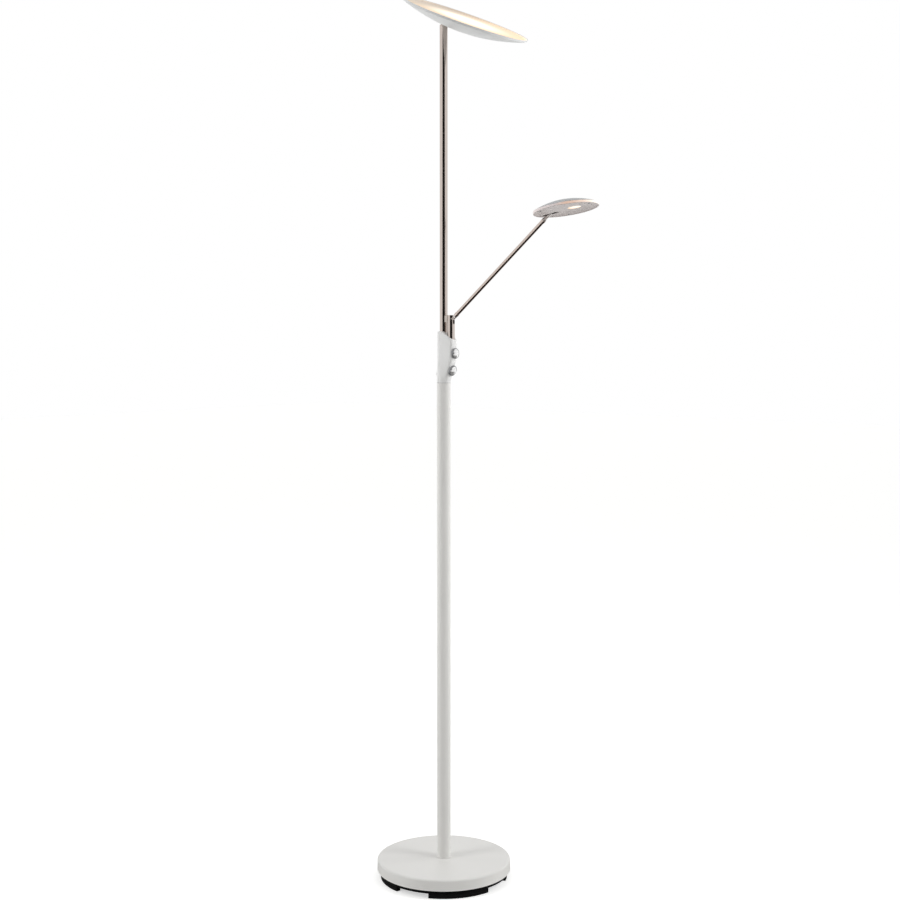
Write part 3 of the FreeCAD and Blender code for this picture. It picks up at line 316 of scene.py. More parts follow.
def settle(piece):
    """Turns what the modifiers make into the piece's own mesh."""
    bpy.context.view_layer.update()
    data = bpy.data.meshes.new_from_object(piece.evaluated_get(bpy.context.evaluated_depsgraph_get()))
    piece.modifiers.clear()
    piece.data = data


def carve(piece, cutters, operation="DIFFERENCE"):
    """Cuts meshes out of a piece, joins them to it or keeps what they share."""
    tools = [to_object("cutter", cutter) for cutter in cutters]
    for tool in tools:
        carving = piece.modifiers.new("carve", "BOOLEAN")
        carving.operation = operation
        carving.object = tool
        carving.solver = "EXACT"
    settle(piece)
    for tool in tools:
        bpy.data.objects.remove(tool)
    return piece


def soften(piece, width, segments=2):
    """Small round on every sharp edge, so that it catches the light."""
    bevel = piece.modifiers.new("soften", "BEVEL")
    bevel.width = width
    bevel.segments = segments
    bevel.limit_method = "ANGLE"
    bevel.angle_limit = SHARP_ANGLE
    settle(piece)
    return piece


def refined(node, width):
    """New piece from a CAD node's own form, with its sharp edges rounded."""
    mesh = bmesh.new()
    mesh.from_mesh(frame["nodes"][node].data)
    mesh.transform(frame["nodes"][node].matrix_world)
    bmesh.ops.remove_doubles(mesh, verts=mesh.verts, dist=TINY)
    bmesh.ops.dissolve_limit(mesh, angle_limit=math.radians(0.5), verts=mesh.verts, edges=mesh.edges)
    return soften(to_object("smooth_" + node, mesh), width)


def dress(piece, material, body, *replaced, slot_of=None):
    """Gives a finished piece its material, shading and body, and the CAD nodes that it replaces. slot_of,
    the one whose slot it takes, is not used."""
    piece.data.materials.clear()
    piece.data.materials.append(material)
    piece.data.shade_smooth()
    piece.data.set_sharp_from_angle(angle=SHARP_ANGLE)
    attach(piece, body)
    if replaced:
        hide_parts(*replaced)
    return piece


def dress_nodes(material, *nodes):
    """Gives CAD nodes that show as they are their material."""
    for node in nodes:
        data = frame["nodes"][node].data
        data.materials.clear()
        data.materials.append(material)


# ---- repeats, by Geometry Nodes

def ring_tree():
    """Places copies of a piece on a circle, each turned to face outwards."""
    tree = bpy.data.node_groups.new("ring_of_copies", "GeometryNodeTree")
    tree.is_modifier = True
    for name, kind in (("Piece", "Object"), ("Count", "Int"), ("Radius", "Float"), ("Height", "Float"),
                       ("First Angle", "Float"), ("Finish", "Material")):
        tree.interface.new_socket(name, in_out="INPUT", socket_type="NodeSocket" + kind)
    tree.interface.new_socket("Geometry", in_out="OUTPUT", socket_type="NodeSocketGeometry")
    given = add(tree, "NodeGroupInput").outputs
    copy = add(tree, "GeometryNodeObjectInfo", {"Object": given["Piece"], "As Instance": True})
    points = add(tree, "GeometryNodePoints", {"Count": given["Count"]})
    index = add(tree, "GeometryNodeInputIndex")
    share = add(tree, "ShaderNodeMath", {0: index.outputs[0], 1: given["Count"]}, operation="DIVIDE")
    angle = add(tree, "ShaderNodeMath",
                {0: share.outputs[0], 1: 2 * math.pi, 2: given["First Angle"]}, operation="MULTIPLY_ADD")
    turn = add(tree, "ShaderNodeCombineXYZ", {"Z": angle.outputs[0]})
    start = add(tree, "ShaderNodeCombineXYZ", {"X": given["Radius"], "Z": given["Height"]})
    spot = add(tree, "ShaderNodeVectorRotate",
               {"Vector": start.outputs[0], "Angle": angle.outputs[0]}, rotation_type="Z_AXIS")
    placed = add(tree, "GeometryNodeSetPosition",
                 {"Geometry": points.outputs[0], "Position": spot.outputs[0]})
    copies = add(tree, "GeometryNodeInstanceOnPoints",
                 {"Points": placed.outputs[0], "Instance": copy.outputs["Geometry"],
                  "Rotation": turn.outputs[0]})
    real = add(tree, "GeometryNodeRealizeInstances", {"Geometry": copies.outputs[0]})
    finished = add(tree, "GeometryNodeSetMaterial",
                   {"Geometry": real.outputs[0], "Material": given["Finish"]})
    add(tree, "NodeGroupOutput", {"Geometry": finished.outputs[0]})
    return tree


def ring_of(name, mesh, count, radius, height, material, place=None, first_angle=0.0):
    """Copies of a small mesh on a circle, settled into one plain mesh."""
    template = to_object(name + "_one", mesh)
    holder = bpy.data.objects.new(name, bpy.data.meshes.new(name))
    SCENE.collection.objects.link(holder)
    tree = bpy.data.node_groups.get("ring_of_copies") or ring_tree()
    ring = holder.modifiers.new("ring", "NODES")
    ring.node_group = tree
    values = {"Piece": template, "Count": count, "Radius": radius, "Height": height,
              "First Angle": first_angle, "Finish": material}
    for socket in tree.interface.items_tree:
        if socket.in_out == "INPUT":
            ring[socket.identifier] = values[socket.name]
    settle(holder)
    bpy.data.objects.remove(template)
    if place is not None:
        holder.data.transform(place)
    return holder


def screw_head(radius, height):
    """Low domed head with a cross recess, lying on z = 0 and facing up."""
    corners = [(0, 0), (radius, 0), (radius, height, height * 0.6), (0, height)]
    head = lathe("head", corners, 24)
    arm, groove, floor = radius * 0.62, radius * 0.16, height * 0.45
    carve(head, [block((-arm, -groove, floor), (arm, groove, 2 * height)),
                 block((-groove, -arm, floor), (groove, arm, 2 * height))])
    return mesh_of(head)


# ---- places read from the frame

def width(node):
    """Half of a node's size across the lamp, which is the radius of a round one."""
    low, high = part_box(node)
    return (high.y - low.y) / 2


def centre(node):
    """Middle of a node's box."""
    low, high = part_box(node)
    return (low + high) / 2


def hinge(joint):
    """Place of a joint."""
    return Vector(JOINTS[joint]["pos_m"])


def aimed(point, axis):
    """Frame at a point, turned about +Y so that its +Z runs along an axis."""
    return Matrix.Translation(point) @ Matrix.Rotation(math.atan2(axis[0], axis[2]), 4, "Y")


def facing_frame(node, rise=0.0):
    """Frame at a round node's middle: +Z along its axis and up, +X towards the lamp's front."""
    face = max(frame["nodes"][node].data.polygons, key=lambda polygon: polygon.area)
    axis = face.normal if face.normal.z > 0 else -face.normal
    return aimed(centre(node), axis) @ Matrix.Translation((0, 0, rise))


# ---- sizes and colours a user may change

def size(label, told, value):
    """A length; value is in millimetres."""
    return bpy.props.FloatProperty(name=label, description=told, default=value * MM, unit="LENGTH")


def angle(label, told, degrees):
    return bpy.props.FloatProperty(name=label, description=told, default=math.radians(degrees),
                                   unit="ROTATION")


def number(label, told, value):
    return bpy.props.IntProperty(name=label, description=told, default=value)


def shade(label, told, code):
    return bpy.props.FloatVectorProperty(name=label, description=told, default=linear(code),
                                         subtype="COLOR")


class LampSizes(bpy.types.PropertyGroup):
    cover_fillet: size("Cover fillet", "Round of the base cover's upper edge", 4.0)
    sheet: size("Sheet", "Thickness of the cover's sheet", 1.2)
    lip: size("Lip", "Height of the cover's rolled lip", 1.7)
    pad_width: size("Pad width", "Width of the rubber pads", 10.0)
    pad_span: angle("Pad span", "Arc of one pad", 57)
    pad_turn: angle("Pad turn", "Direction of the first pad", -35)
    rib_count: number("Ribs", "Ribs under the tray", 24)
    tube_wall: size("Tube wall", "Wall of the lower pole", 1.1)
    nickel_wall: size("Nickel wall", "Wall of the upper pole and the post", 1.0)
    housing_wall: size("Housing wall", "Wall of the two shells", 1.8)
    top_round: size("Top round", "Round along the housing's top", 2.0)
    seam_round: size("Seam round", "Round along the shells' meeting edges", 0.15)
    knob_height: size("Knob height", "Height of a knob", 7.2)
    knob_rim: size("Knob rim", "Height of a knob's fluted rim", 3.6)
    flute_count: number("Flutes", "Flutes round a knob", 48)
    flute_depth: size("Flute depth", "Depth of a knob's flutes", 0.25)
    slot_depth: size("Slot depth", "Depth of the slot in the post's top", 17.5)
    slot_width: size("Slot width", "Width of the slot in the post's top", 5.4)
    dome: size("Dome", "Rise of the reading head's dome", 14.0)
    band: size("Band", "Height of the reading head's side band", 5.0)
    bowl: size("Bowl", "Depth of the torch dish below its straight edge", 22.8)
    edge: size("Edge", "Height of the torch dish's straight edge", 4.3)


class LampColours(bpy.types.PropertyGroup):
    enamel: shade("Enamel", "Powder coat of the base and the lower pole", "#ECEBE8")
    housing: shade("Housing", "Plastic of the switch housing", "#F0F0EF")
    pole: shade("Pole", "Polished upper pole and post", "#C8BDB6")
    arm: shade("Arm", "Polished reading arm", "#C9BBB3")
    dish: shade("Dish", "Lacquer of the torch dish", "#DFE0E0")
    head: shade("Head", "Lacquer of the reading head's dome", "#ABAEB0")
    # The black is also painted shade: the shadow gap under the housing and the dark frame round the
    # reading head's slot.
    black_and_painted_shade: shade("Black", "Black plastic and rubber", "#101011")


class LampOperator(bpy.types.Operator):
    """What every step has: the sizes and colours that a user may change"""
    bl_options = {"REGISTER", "UNDO"}

    @property
    def sizes(self):
        return SCENE.lamp_sizes

    @property
    def colours(self):
        return SCENE.lamp_colours


# ---- base

class LAMP_OT_cover(LampOperator):
    """Pressed cover of the base, with its rolled lip and the hole for the cord's inlet"""
    bl_idname = "lamp.cover"
    bl_label = "Base cover"

    def execute(self, context):
        sizes = self.sizes
        enamel = powder_coated_steel("powder_coated_steel", self.colours.enamel)
        low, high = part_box("base_cover")
        lip_edge, wall, lip, fillet = high.y, sizes.sheet, sizes.lip, sizes.cover_fillet
        radius, lip_round = lip_edge - 0.6 * MM, 0.3 * MM
        inner, hole = radius - wall, width("pole_nipple")
        corners = [(hole, high.z - wall), (hole, high.z), (radius - 2 * fillet, high.z),
                   (radius, high.z, fillet), (radius, low.z + lip, lip_round),
                   (lip_edge, low.z + lip * 0.8, lip_round), (lip_edge, low.z + lip * 0.1, lip_round),
                   (radius - 0.4 * MM, low.z, 0.2 * MM), (inner, low.z + 0.1 * MM),
                   (inner, high.z - wall, fillet - wall)]
        cover = lathe("pressed_cover", corners, 160)
        level, inlet_radius = centre("cord_grommet").z, 4.5 * MM
        carve(cover, [rod(inlet_radius, (-1.1 * radius, 0, level), (-0.9 * radius, 0, level))])
        dress(cover, enamel, "stand", "base_cover")
        return {"FINISHED"}


class LAMP_OT_lower_pole(LampOperator):
    """Enamelled lower pole with its screw hole, and a black ring between it and the housing that is
    painted shadow in the gap at that joint
    """
    bl_idname = "lamp.lower_pole"
    bl_label = "Lower pole"

    def execute(self, context):
        low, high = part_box("lower_pole")
        outer, bore = high.y, high.y - self.sizes.tube_wall
        corners = [(outer, low.z), (outer, high.z - HOLD), (outer, high.z, 0.8 * MM),
                   (bore, high.z, 0.2 * MM), (bore, low.z)]
        pole = lathe("enamelled_pole", corners, 64, pieces=3)
        screw, screw_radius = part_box("grub_screws")[0].z + 2 * MM, 2.1 * MM
        carve(pole, [rod(screw_radius, (-2 * outer, 0, screw), (0, 0, screw))])
        dress(pole, bpy.data.materials["powder_coated_steel"], "stand", "lower_pole")
        # The black ring in the groove under the housing is painted shadow: it stands in for the shade in
        # the gap at the joint.
        black_and_painted_shade = moulded_plastic("painted_shadow_gap_plastic", self.colours.black_and_painted_shade, 0.6)
        face, edge_round = outer - 0.15 * MM, 0.1 * MM
        corners = [(bore, high.z - 0.9 * MM), (face, high.z - 0.6 * MM, edge_round),
                   (face, high.z, edge_round), (bore, high.z)]
        dress(lathe("foot_gasket", corners, 64, pieces=2), black_and_painted_shade, "stand", slot_of="lower_pole")
        return {"FINISHED"}


class LAMP_OT_tray(LampOperator):
    """Black tray under the base, with its ribs and screws"""
    bl_idname = "lamp.tray"
    bl_label = "Tray"

    def execute(self, context):
        sizes = self.sizes
        plastic = moulded_plastic("moulded_tray_plastic", self.colours.black_and_painted_shade, 0.42, 1.1, 0.04, 0.25)
        low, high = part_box("bottom_tray")
        radius, hole, wall, edge_round = high.y, 18 * MM, 2.5 * MM, 0.5 * MM
        corners = [(hole, low.z, edge_round), (radius, low.z, 1.5 * MM), (radius, high.z, edge_round),
                   (radius - wall, high.z, edge_round), (radius - wall, low.z + wall),
                   (hole, low.z + wall)]
        dress(lathe("ribbed_tray", corners, 128), plastic, "stand", "bottom_tray")
        reach, thick, rib_circle = 36 * MM, MM, 66 * MM
        rib = to_object("rib", block((-reach, -thick, -1.6 * MM), (reach, thick, 0.6 * MM)))
        ribs = ring_of("tray_ribs", mesh_of(soften(rib, 0.5 * MM)), sizes.rib_count, rib_circle, low.z,
                       plastic)
        dress(ribs, plastic, "stand", slot_of="bottom_tray")
        zinc = bpy.data.materials["zinc_plate"]
        head_radius, head_height, screw_circle = 3.8 * MM, 2.4 * MM, 112 * MM
        heads = ring_of("tray_screw_heads", screw_head(head_radius, head_height), 4, screw_circle,
                        -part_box("tray_screws")[0].z - head_height, zinc, UPSIDE_DOWN, -sizes.pad_turn)
        dress(heads, zinc, "stand", "tray_screws")
        return {"FINISHED"}


class LAMP_OT_rubber(LampOperator):
    """Rubber of the base: pads along its edge, a round foot in its middle and the cord's inlet"""
    bl_idname = "lamp.rubber"
    bl_label = "Rubber feet and inlet"

    def execute(self, context):
        sizes = self.sizes
        rubber = moulded_plastic("nitrile_rubber", self.colours.black_and_painted_shade, 0.75, 1.2, 0.06, 0.25)
        low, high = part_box("foot_pads")
        outer, foot_round = 131 * MM, 1.2 * MM
        inner = outer - sizes.pad_width
        outline = rounded([(inner, low.z, foot_round), (outer, low.z, foot_round), (outer, high.z),
                           (inner, high.z)])
        first = sizes.pad_turn - sizes.pad_span / 2
        pads = [turned(outline, 40, True, first + index * math.pi / 2, sizes.pad_span)
                for index in range(4)]
        dress(to_object("arc_pads", joined(pads)), rubber, "stand", "foot_pads")
        low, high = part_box("centre_foot")
        neck, shoulder = 17.7 * MM, 10.5 * MM
        corners = [(0, low.z), (high.y, low.z, foot_round), (high.y, shoulder, 0.3 * MM),
                   (neck, shoulder), (neck, high.z, 0.4 * MM), (0, high.z)]
        dress(lathe("round_foot", corners, 64), rubber, "stand", "centre_foot")
        low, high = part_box("cord_grommet")
        flange, long = width("cord_grommet"), high.x - low.x
        bore, groove, end_round = 3.2 * MM, 4.4 * MM, 0.6 * MM
        corners = [(bore, 0, end_round), (flange - 1.2 * MM, 0, 0.8 * MM), (flange, 2.2 * MM, 0.5 * MM),
                   (groove, 2.3 * MM), (groove, 3.4 * MM), (flange, 3.5 * MM),
                   (flange, long, end_round), (bore, long, end_round)]
        place = aimed((low.x, 0, centre("cord_grommet").z), (1, 0, 0))
        dress(lathe("inlet_grommet", corners, 48, place), rubber, "stand", "cord_grommet")
        return {"FINISHED"}


# ---- switch housing

# In millimetres: height above the housing's foot, and how far the front stands out there.
HOUSING_PROFILE = [(0.0, 14.2), (5.5, 15.5), (13.0, 18.0), (37.5, 25.6), (47.5, 27.6), (57.5, 28.3)]
FOOT_RADIUS = HOUSING_PROFILE[0][1]
SWELL_HEIGHT, HOUSING_FRONT = HOUSING_PROFILE[-1]
BACK_TAPER = 1.3
# Radius of the front's corners and their distance from the middle, at the foot, and what each one loses
# or gains up to the swell.
FOOT_CORNER, CORNER_LOSS = 10.0, 4.5
FOOT_SPREAD, SPREAD_GAIN = 1.5, 3.1
TOP_SLOPE = math.radians(36)
TOP_SLOPE_START = 5.0
SEAM_X = -1.5
CORNER_STEPS, BACK_STEPS, SWELL_STEPS = 6, 10, 24
CREASE = CORNER_STEPS + 2


def front_at(height):
    """Housing's front at a height, on a smooth curve through the profile's points."""
    if height >= SWELL_HEIGHT:
        return HOUSING_FRONT
    heights, fronts = zip(*HOUSING_PROFILE)
    slopes = [(fronts[1] - fronts[0]) / heights[1]]
    for index in range(1, len(fronts) - 1):
        slopes.append((fronts[index + 1] - fronts[index - 1]) / (heights[index + 1] - heights[index - 1]))
    slopes.append(0.0)
    index = max(i for i in range(len(heights) - 1) if heights[i] <= height)
    run = heights[index + 1] - heights[index]
    t = (height - heights[index]) / run
    return ((1 + 2 * t) * (1 - t) ** 2 * fronts[index] + t * (1 - t) ** 2 * run * slopes[index]
            + t * t * (3 - 2 * t) * fronts[index + 1] + t * t * (t - 1) * run * slopes[index + 1])


def housing_section(height, inset, crease):
    """Level outline of the housing, in millimetres: a round back, tangent sides and a front with round
    corners. crease is where along each side the top's crease meets it, at the index CREASE."""
    front = front_at(height)
    share = (front - FOOT_RADIUS) / (HOUSING_FRONT - FOOT_RADIUS)
    back = FOOT_RADIUS - BACK_TAPER * min(1, height / SWELL_HEIGHT)
    corner = FOOT_CORNER - CORNER_LOSS * share
    spread = FOOT_SPREAD + SPREAD_GAIN * share
    middle = front - corner
    side = math.atan2(spread, middle) + math.acos((back - corner) / math.hypot(middle, spread))
    half = []
    for step in range(CORNER_STEPS + 1):
        turn = side * step / CORNER_STEPS
        half.append((middle + (corner - inset) * math.cos(turn),
                     spread + (corner - inset) * math.sin(turn)))
    side_end = ((back - inset) * math.cos(side), (back - inset) * math.sin(side))
    for t in (0.4, 1 - crease):
        half.append(tuple(a + (b - a) * t for a, b in zip(half[CORNER_STEPS], side_end)))
    for step in range(BACK_STEPS + 1):
        turn = side + (math.pi - side) * step / BACK_STEPS
        half.append(((back - inset) * math.cos(turn), (back - inset) * math.sin(turn)))
    return half + [(x, -y) for x, y in reversed(half[:-1])]


def housing_form(bottom, top, inset, round_off):
    """Closed form of the housing, or of the hollow inside it, in metres."""
    start = TOP_SLOPE_START - inset * math.tan(TOP_SLOPE / 2)
    section = housing_section(SWELL_HEIGHT, inset, 0)
    crease = (start - section[CREASE][0]) / (section[CORNER_STEPS][0] - section[CREASE][0])
    tall = (top - bottom) / MM
    mesh = bmesh.new()
    rows = []

    def ceiling(x):
        return tall - inset - max(0.0, x - start) * math.tan(TOP_SLOPE)

    def add_row(points, levels):
        rows.append([mesh.verts.new((x * MM, y * MM, bottom + level * MM))
                     for (x, y), level in zip(points, levels)])

    for step in range(SWELL_STEPS + 1):
        height = step * SWELL_HEIGHT / SWELL_STEPS
        points = housing_section(height, inset, crease)
        add_row(points, [height if height or not inset else -1.0] * len(points))
    for t in (0.35, 0.7, 0.92, 1.0):
        add_row(points, [SWELL_HEIGHT + t * (ceiling(x) - SWELL_HEIGHT) for x, y in points])
    count = len(points)
    for low, high in zip(rows, rows[1:]):
        for index in range(count):
            after = (index + 1) % count
            mesh.faces.new((low[index], low[after], high[after], high[index]))
    last = rows[-1]
    for corners in (rows[0], last[:CREASE + 1] + last[count - CREASE - 1:], last[CREASE:count - CREASE]):
        mesh.faces.new(corners)
    bmesh.ops.recalc_face_normals(mesh, faces=mesh.faces)
    if round_off:
        outline = [edge for edge in mesh.edges if all(vertex in last for vertex in edge.verts)
                   and abs(last.index(edge.verts[0]) - last.index(edge.verts[1])) in (1, count - 1)]
        bmesh.ops.bevel(mesh, geom=outline, offset=round_off, segments=5, profile=0.5, affect="EDGES",
                        offset_type="OFFSET", clamp_overlap=True)
    return mesh


class LAMP_OT_housing(LampOperator):
    """Two moulded shells round the dimmers, split by a seam, with their screws at the back"""
    bl_idname = "lamp.housing"
    bl_label = "Switch housing"

    def execute(self, context):
        sizes = self.sizes
        plastic = moulded_plastic("moulded_housing_plastic", self.colours.housing, 0.36, 0.8, 0.02)
        low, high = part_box("housing_front")
        bottom, top, over = low.z, high.z, high.z + MM
        head_radius, recess, level = 2.4 * MM, -6.6 * MM, centre("housing_screws").z
        sides = [side * (width("housing_screws") - head_radius) for side in (-1, 1)]
        whole = to_object("housing", housing_form(bottom, top, 0.0, sizes.top_round))
        carve(whole, [housing_form(bottom, top, sizes.housing_wall / MM, 0)])
        boss, boss_back, boss_front = 3.2 * MM, -10.5 * MM, 6 * MM
        carve(whole, [rod(boss, (boss_back, y, level), (boss_front, y, level)) for y in sides], "UNION")
        gap, hole, outside, post_x = 0.3 * MM, 2.45 * MM, -30 * MM, centre("post_tube").x
        carve(whole, [rod(width("upper_pole") + gap, (0, 0, top - 20 * MM), (0, 0, over)),
                      rod(width("post_tube") + gap, (post_x, 0, top - 30 * MM), (post_x, 0, over))]
              + [rod(hole, (outside, y, level), (recess, y, level)) for y in sides])
        seam, far, under = SEAM_X * MM, 60 * MM, bottom - MM
        back = to_object("housing_back_shell", mesh_of(whole, keep=True))
        carve(back, [block((-far, -far, under), (seam, far, over))], "INTERSECT")
        carve(whole, [block((seam, -far, under), (far, far, over))], "INTERSECT")
        whole.name = "housing_front_shell"
        for shell, node in ((back, "housing_back"), (whole, "housing_front")):
            dress(soften(shell, sizes.seam_round), plastic, "stand", node)
        heads = []
        for y in sides:
            heads.append(screw_head(head_radius, 1.6 * MM))
            heads[-1].transform(aimed((recess, y, level), (-1, 0, 0)))
        dress(to_object("housing_screw_heads", joined(heads)), bpy.data.materials["zinc_plate"], "stand",
              "housing_screws")
        return {"FINISHED"}


class LAMP_OT_knobs(LampOperator):
    """Two chromed dimmer knobs with a fluted rim, a domed cap and a dimple that marks their turn"""
    bl_idname = "lamp.knobs"
    bl_label = "Dimmer knobs"

    def execute(self, context):
        sizes = self.sizes
        chrome = plated_metal("bright_chrome", linear("#F4F4F4"), 0.2, 0.6)
        # The fluted rim's dark grey chrome is painted shade: it stands in for the dark outline round each
        # knob, against the cap's bright chrome.
        grip_painted_shade = plated_metal("satin_chrome_painted_shade", linear("#8C8D90"), 0.34, 0.6)
        radius, tall, rim = width("upper_knob"), sizes.knob_height, sizes.knob_rim
        bore, hub, hollow, hollow_top = 1.6 * MM, 3.2 * MM, 8.6 * MM, 2.4 * MM
        cap, seat, ledge = radius - 1.4 * MM, 4.6 * MM, rim - 0.4 * MM
        dimple_radius, dimple_reach, dimple_drop = 1.3 * MM, 6.4 * MM, 1.1 * MM
        ball = (cap ** 2 + (tall - rim) ** 2) / (2 * (tall - rim))
        steps = 12
        reaches = [cap * (1 - step / steps) for step in range(steps + 1)]
        dome = [(reach, tall - ball + math.sqrt(ball ** 2 - reach ** 2)) for reach in reaches]
        rim_corners = [(bore, 0), (hub, 0, 0.2 * MM), (hub, hollow_top), (hollow, hollow_top),
                       (hollow, 0, 0.2 * MM), (radius, 0, 0.3 * MM), (radius, rim, 0.6 * MM),
                       (cap + 0.5 * MM, rim, 0.1 * MM), (cap + 0.2 * MM, ledge, 0.1 * MM), (bore, ledge)]
        for name in ("upper_knob", "lower_knob"):
            place = aimed(hinge(name + "_turn"), JOINTS[name + "_turn"]["axis"])
            mesh = turned(rounded(rim_corners, pieces=3), 4 * sizes.flute_count)
            for vertex in mesh.verts:
                reach = math.hypot(vertex.co.x, vertex.co.y)
                if reach > radius - 0.35 * MM and 0.3 * MM < vertex.co.z < rim:
                    turn = math.atan2(vertex.co.y, vertex.co.x)
                    cut = sizes.flute_depth * (0.5 - 0.5 * math.cos(sizes.flute_count * turn))
                    vertex.co.xy *= 1 - cut / reach
            dress(to_object("fluted_" + name, mesh, place), grip_painted_shade, name, name)
            knob = lathe("domed_cap_" + name, dome + [(0, seat), (bore, seat), (bore, ledge)], 96)
            dimple = bmesh.new()
            bmesh.ops.create_uvsphere(dimple, u_segments=24, v_segments=16, radius=dimple_radius)
            dimple.transform(Matrix.Translation((-dimple_reach, 0, tall - dimple_drop)))
            carve(knob, [dimple])
            knob.data.transform(place)
            dress(knob, chrome, name, slot_of=name)
        return {"FINISHED"}


# ---- poles, post and arm

class LAMP_OT_poles(LampOperator):
    """Polished upper pole and reading post, with the saddle, the knuckle and the fork that they carry"""
    bl_idname = "lamp.poles"
    bl_label = "Upper pole and post"

    def execute(self, context):
        sizes = self.sizes
        nickel = drawn_metal("polished_nickel_tube", self.colours.pole, 0.13, 0.0)
        for node, name, body in (("upper_pole", "polished_pole", "stand"),
                                 ("post_tube", "slotted_post", "reading_post")):
            low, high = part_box(node)
            outer, bore, middle = width(node), width(node) - sizes.nickel_wall, centre(node).x
            corners = [(outer, low.z), (outer, high.z - HOLD), (outer, high.z, 0.35 * MM),
                       (bore, high.z, 0.2 * MM), (bore, high.z - HOLD), (bore, low.z)]
            tube = lathe(name, corners, 72, Matrix.Translation((middle, 0, 0)), pieces=3)
            if node == "post_tube":
                half, past, pin, pin_radius = sizes.slot_width / 2, 20 * MM, hinge("arm_lift"), 1.55 * MM
                carve(tube, [block((middle - 0.6 * MM, -half, high.z - sizes.slot_depth),
                                   (middle + past, half, high.z + MM)),
                             rod(pin_radius, (pin.x, -past, pin.z), (pin.x, past, pin.z))])
            dress(tube, nickel, body, node)
        steel = plated_metal("satin_steel", linear("#BDB4AC"), 0.22)
        for node, edge, body in (("post_clip", 0.4, "stand"), ("torch_knuckle", 0.4, "stand"),
                                 ("post_fork", 0.3, "reading_post"), ("arm_pin", 0.2, "reading_post")):
            dress(refined(node, edge * MM), steel, body, node)
        return {"FINISHED"}


class LAMP_OT_arm(LampOperator):
    """Polished reading arm with a collar and a flat eye at each end"""
    bl_idname = "lamp.arm"
    bl_label = "Reading arm"

    def execute(self, context):
        run = hinge("head_tilt") - hinge("arm_lift")
        metal = drawn_metal("polished_arm_tube", self.colours.arm, 0.14, math.atan2(run.x, run.z))
        radius, bore, collar, edge = 4 * MM, 3 * MM, 4.5 * MM, 0.5 * MM
        start, end, deep = 11 * MM, run.length - 22.5 * MM, 5 * MM
        corners = [(bore, start), (collar, start, edge), (collar, start + deep, edge),
                   (radius, start + deep), (radius, end - deep), (collar, end - deep, edge),
                   (collar, end, edge), (bore, end)]
        arm = lathe("collared_arm", corners, 48, aimed(hinge("arm_lift"), run), pieces=3)
        dress(arm, metal, "reading_arm", "arm_tube")
        cast = plated_metal("plated_casting", linear("#CFC9C5"), 0.18)
        for node in ("arm_lower_eye", "arm_upper_eye"):
            dress(refined(node, edge), cast, "reading_arm", node)
        return {"FINISHED"}


# ---- heads

# Where round the reading head its band's painted light turns, measured from the head's front: the band's
# glow is painted shade on one side and a painted reflection on the other.
BAND_PAINTED_LIGHT_TURN = math.radians(40)


def dish_walls(radius, edge, rise, wall, side):
    """Outer wall of a round dish from its edge to its middle, and inner wall back to the edge, as corners.
    side is 1 for a dome and -1 for a bowl."""
    ball = (radius ** 2 + rise ** 2) / (2 * rise)
    steps = 28

    def wall_at(reach, inset):
        return reach, side * (math.sqrt((ball - inset) ** 2 - reach ** 2) - (ball - edge - rise))

    shares = [step / steps for step in range(steps + 1)]
    return ([wall_at(radius * (1 - share), 0) for share in shares],
            [wall_at((radius - wall) * share, wall) for share in shares])


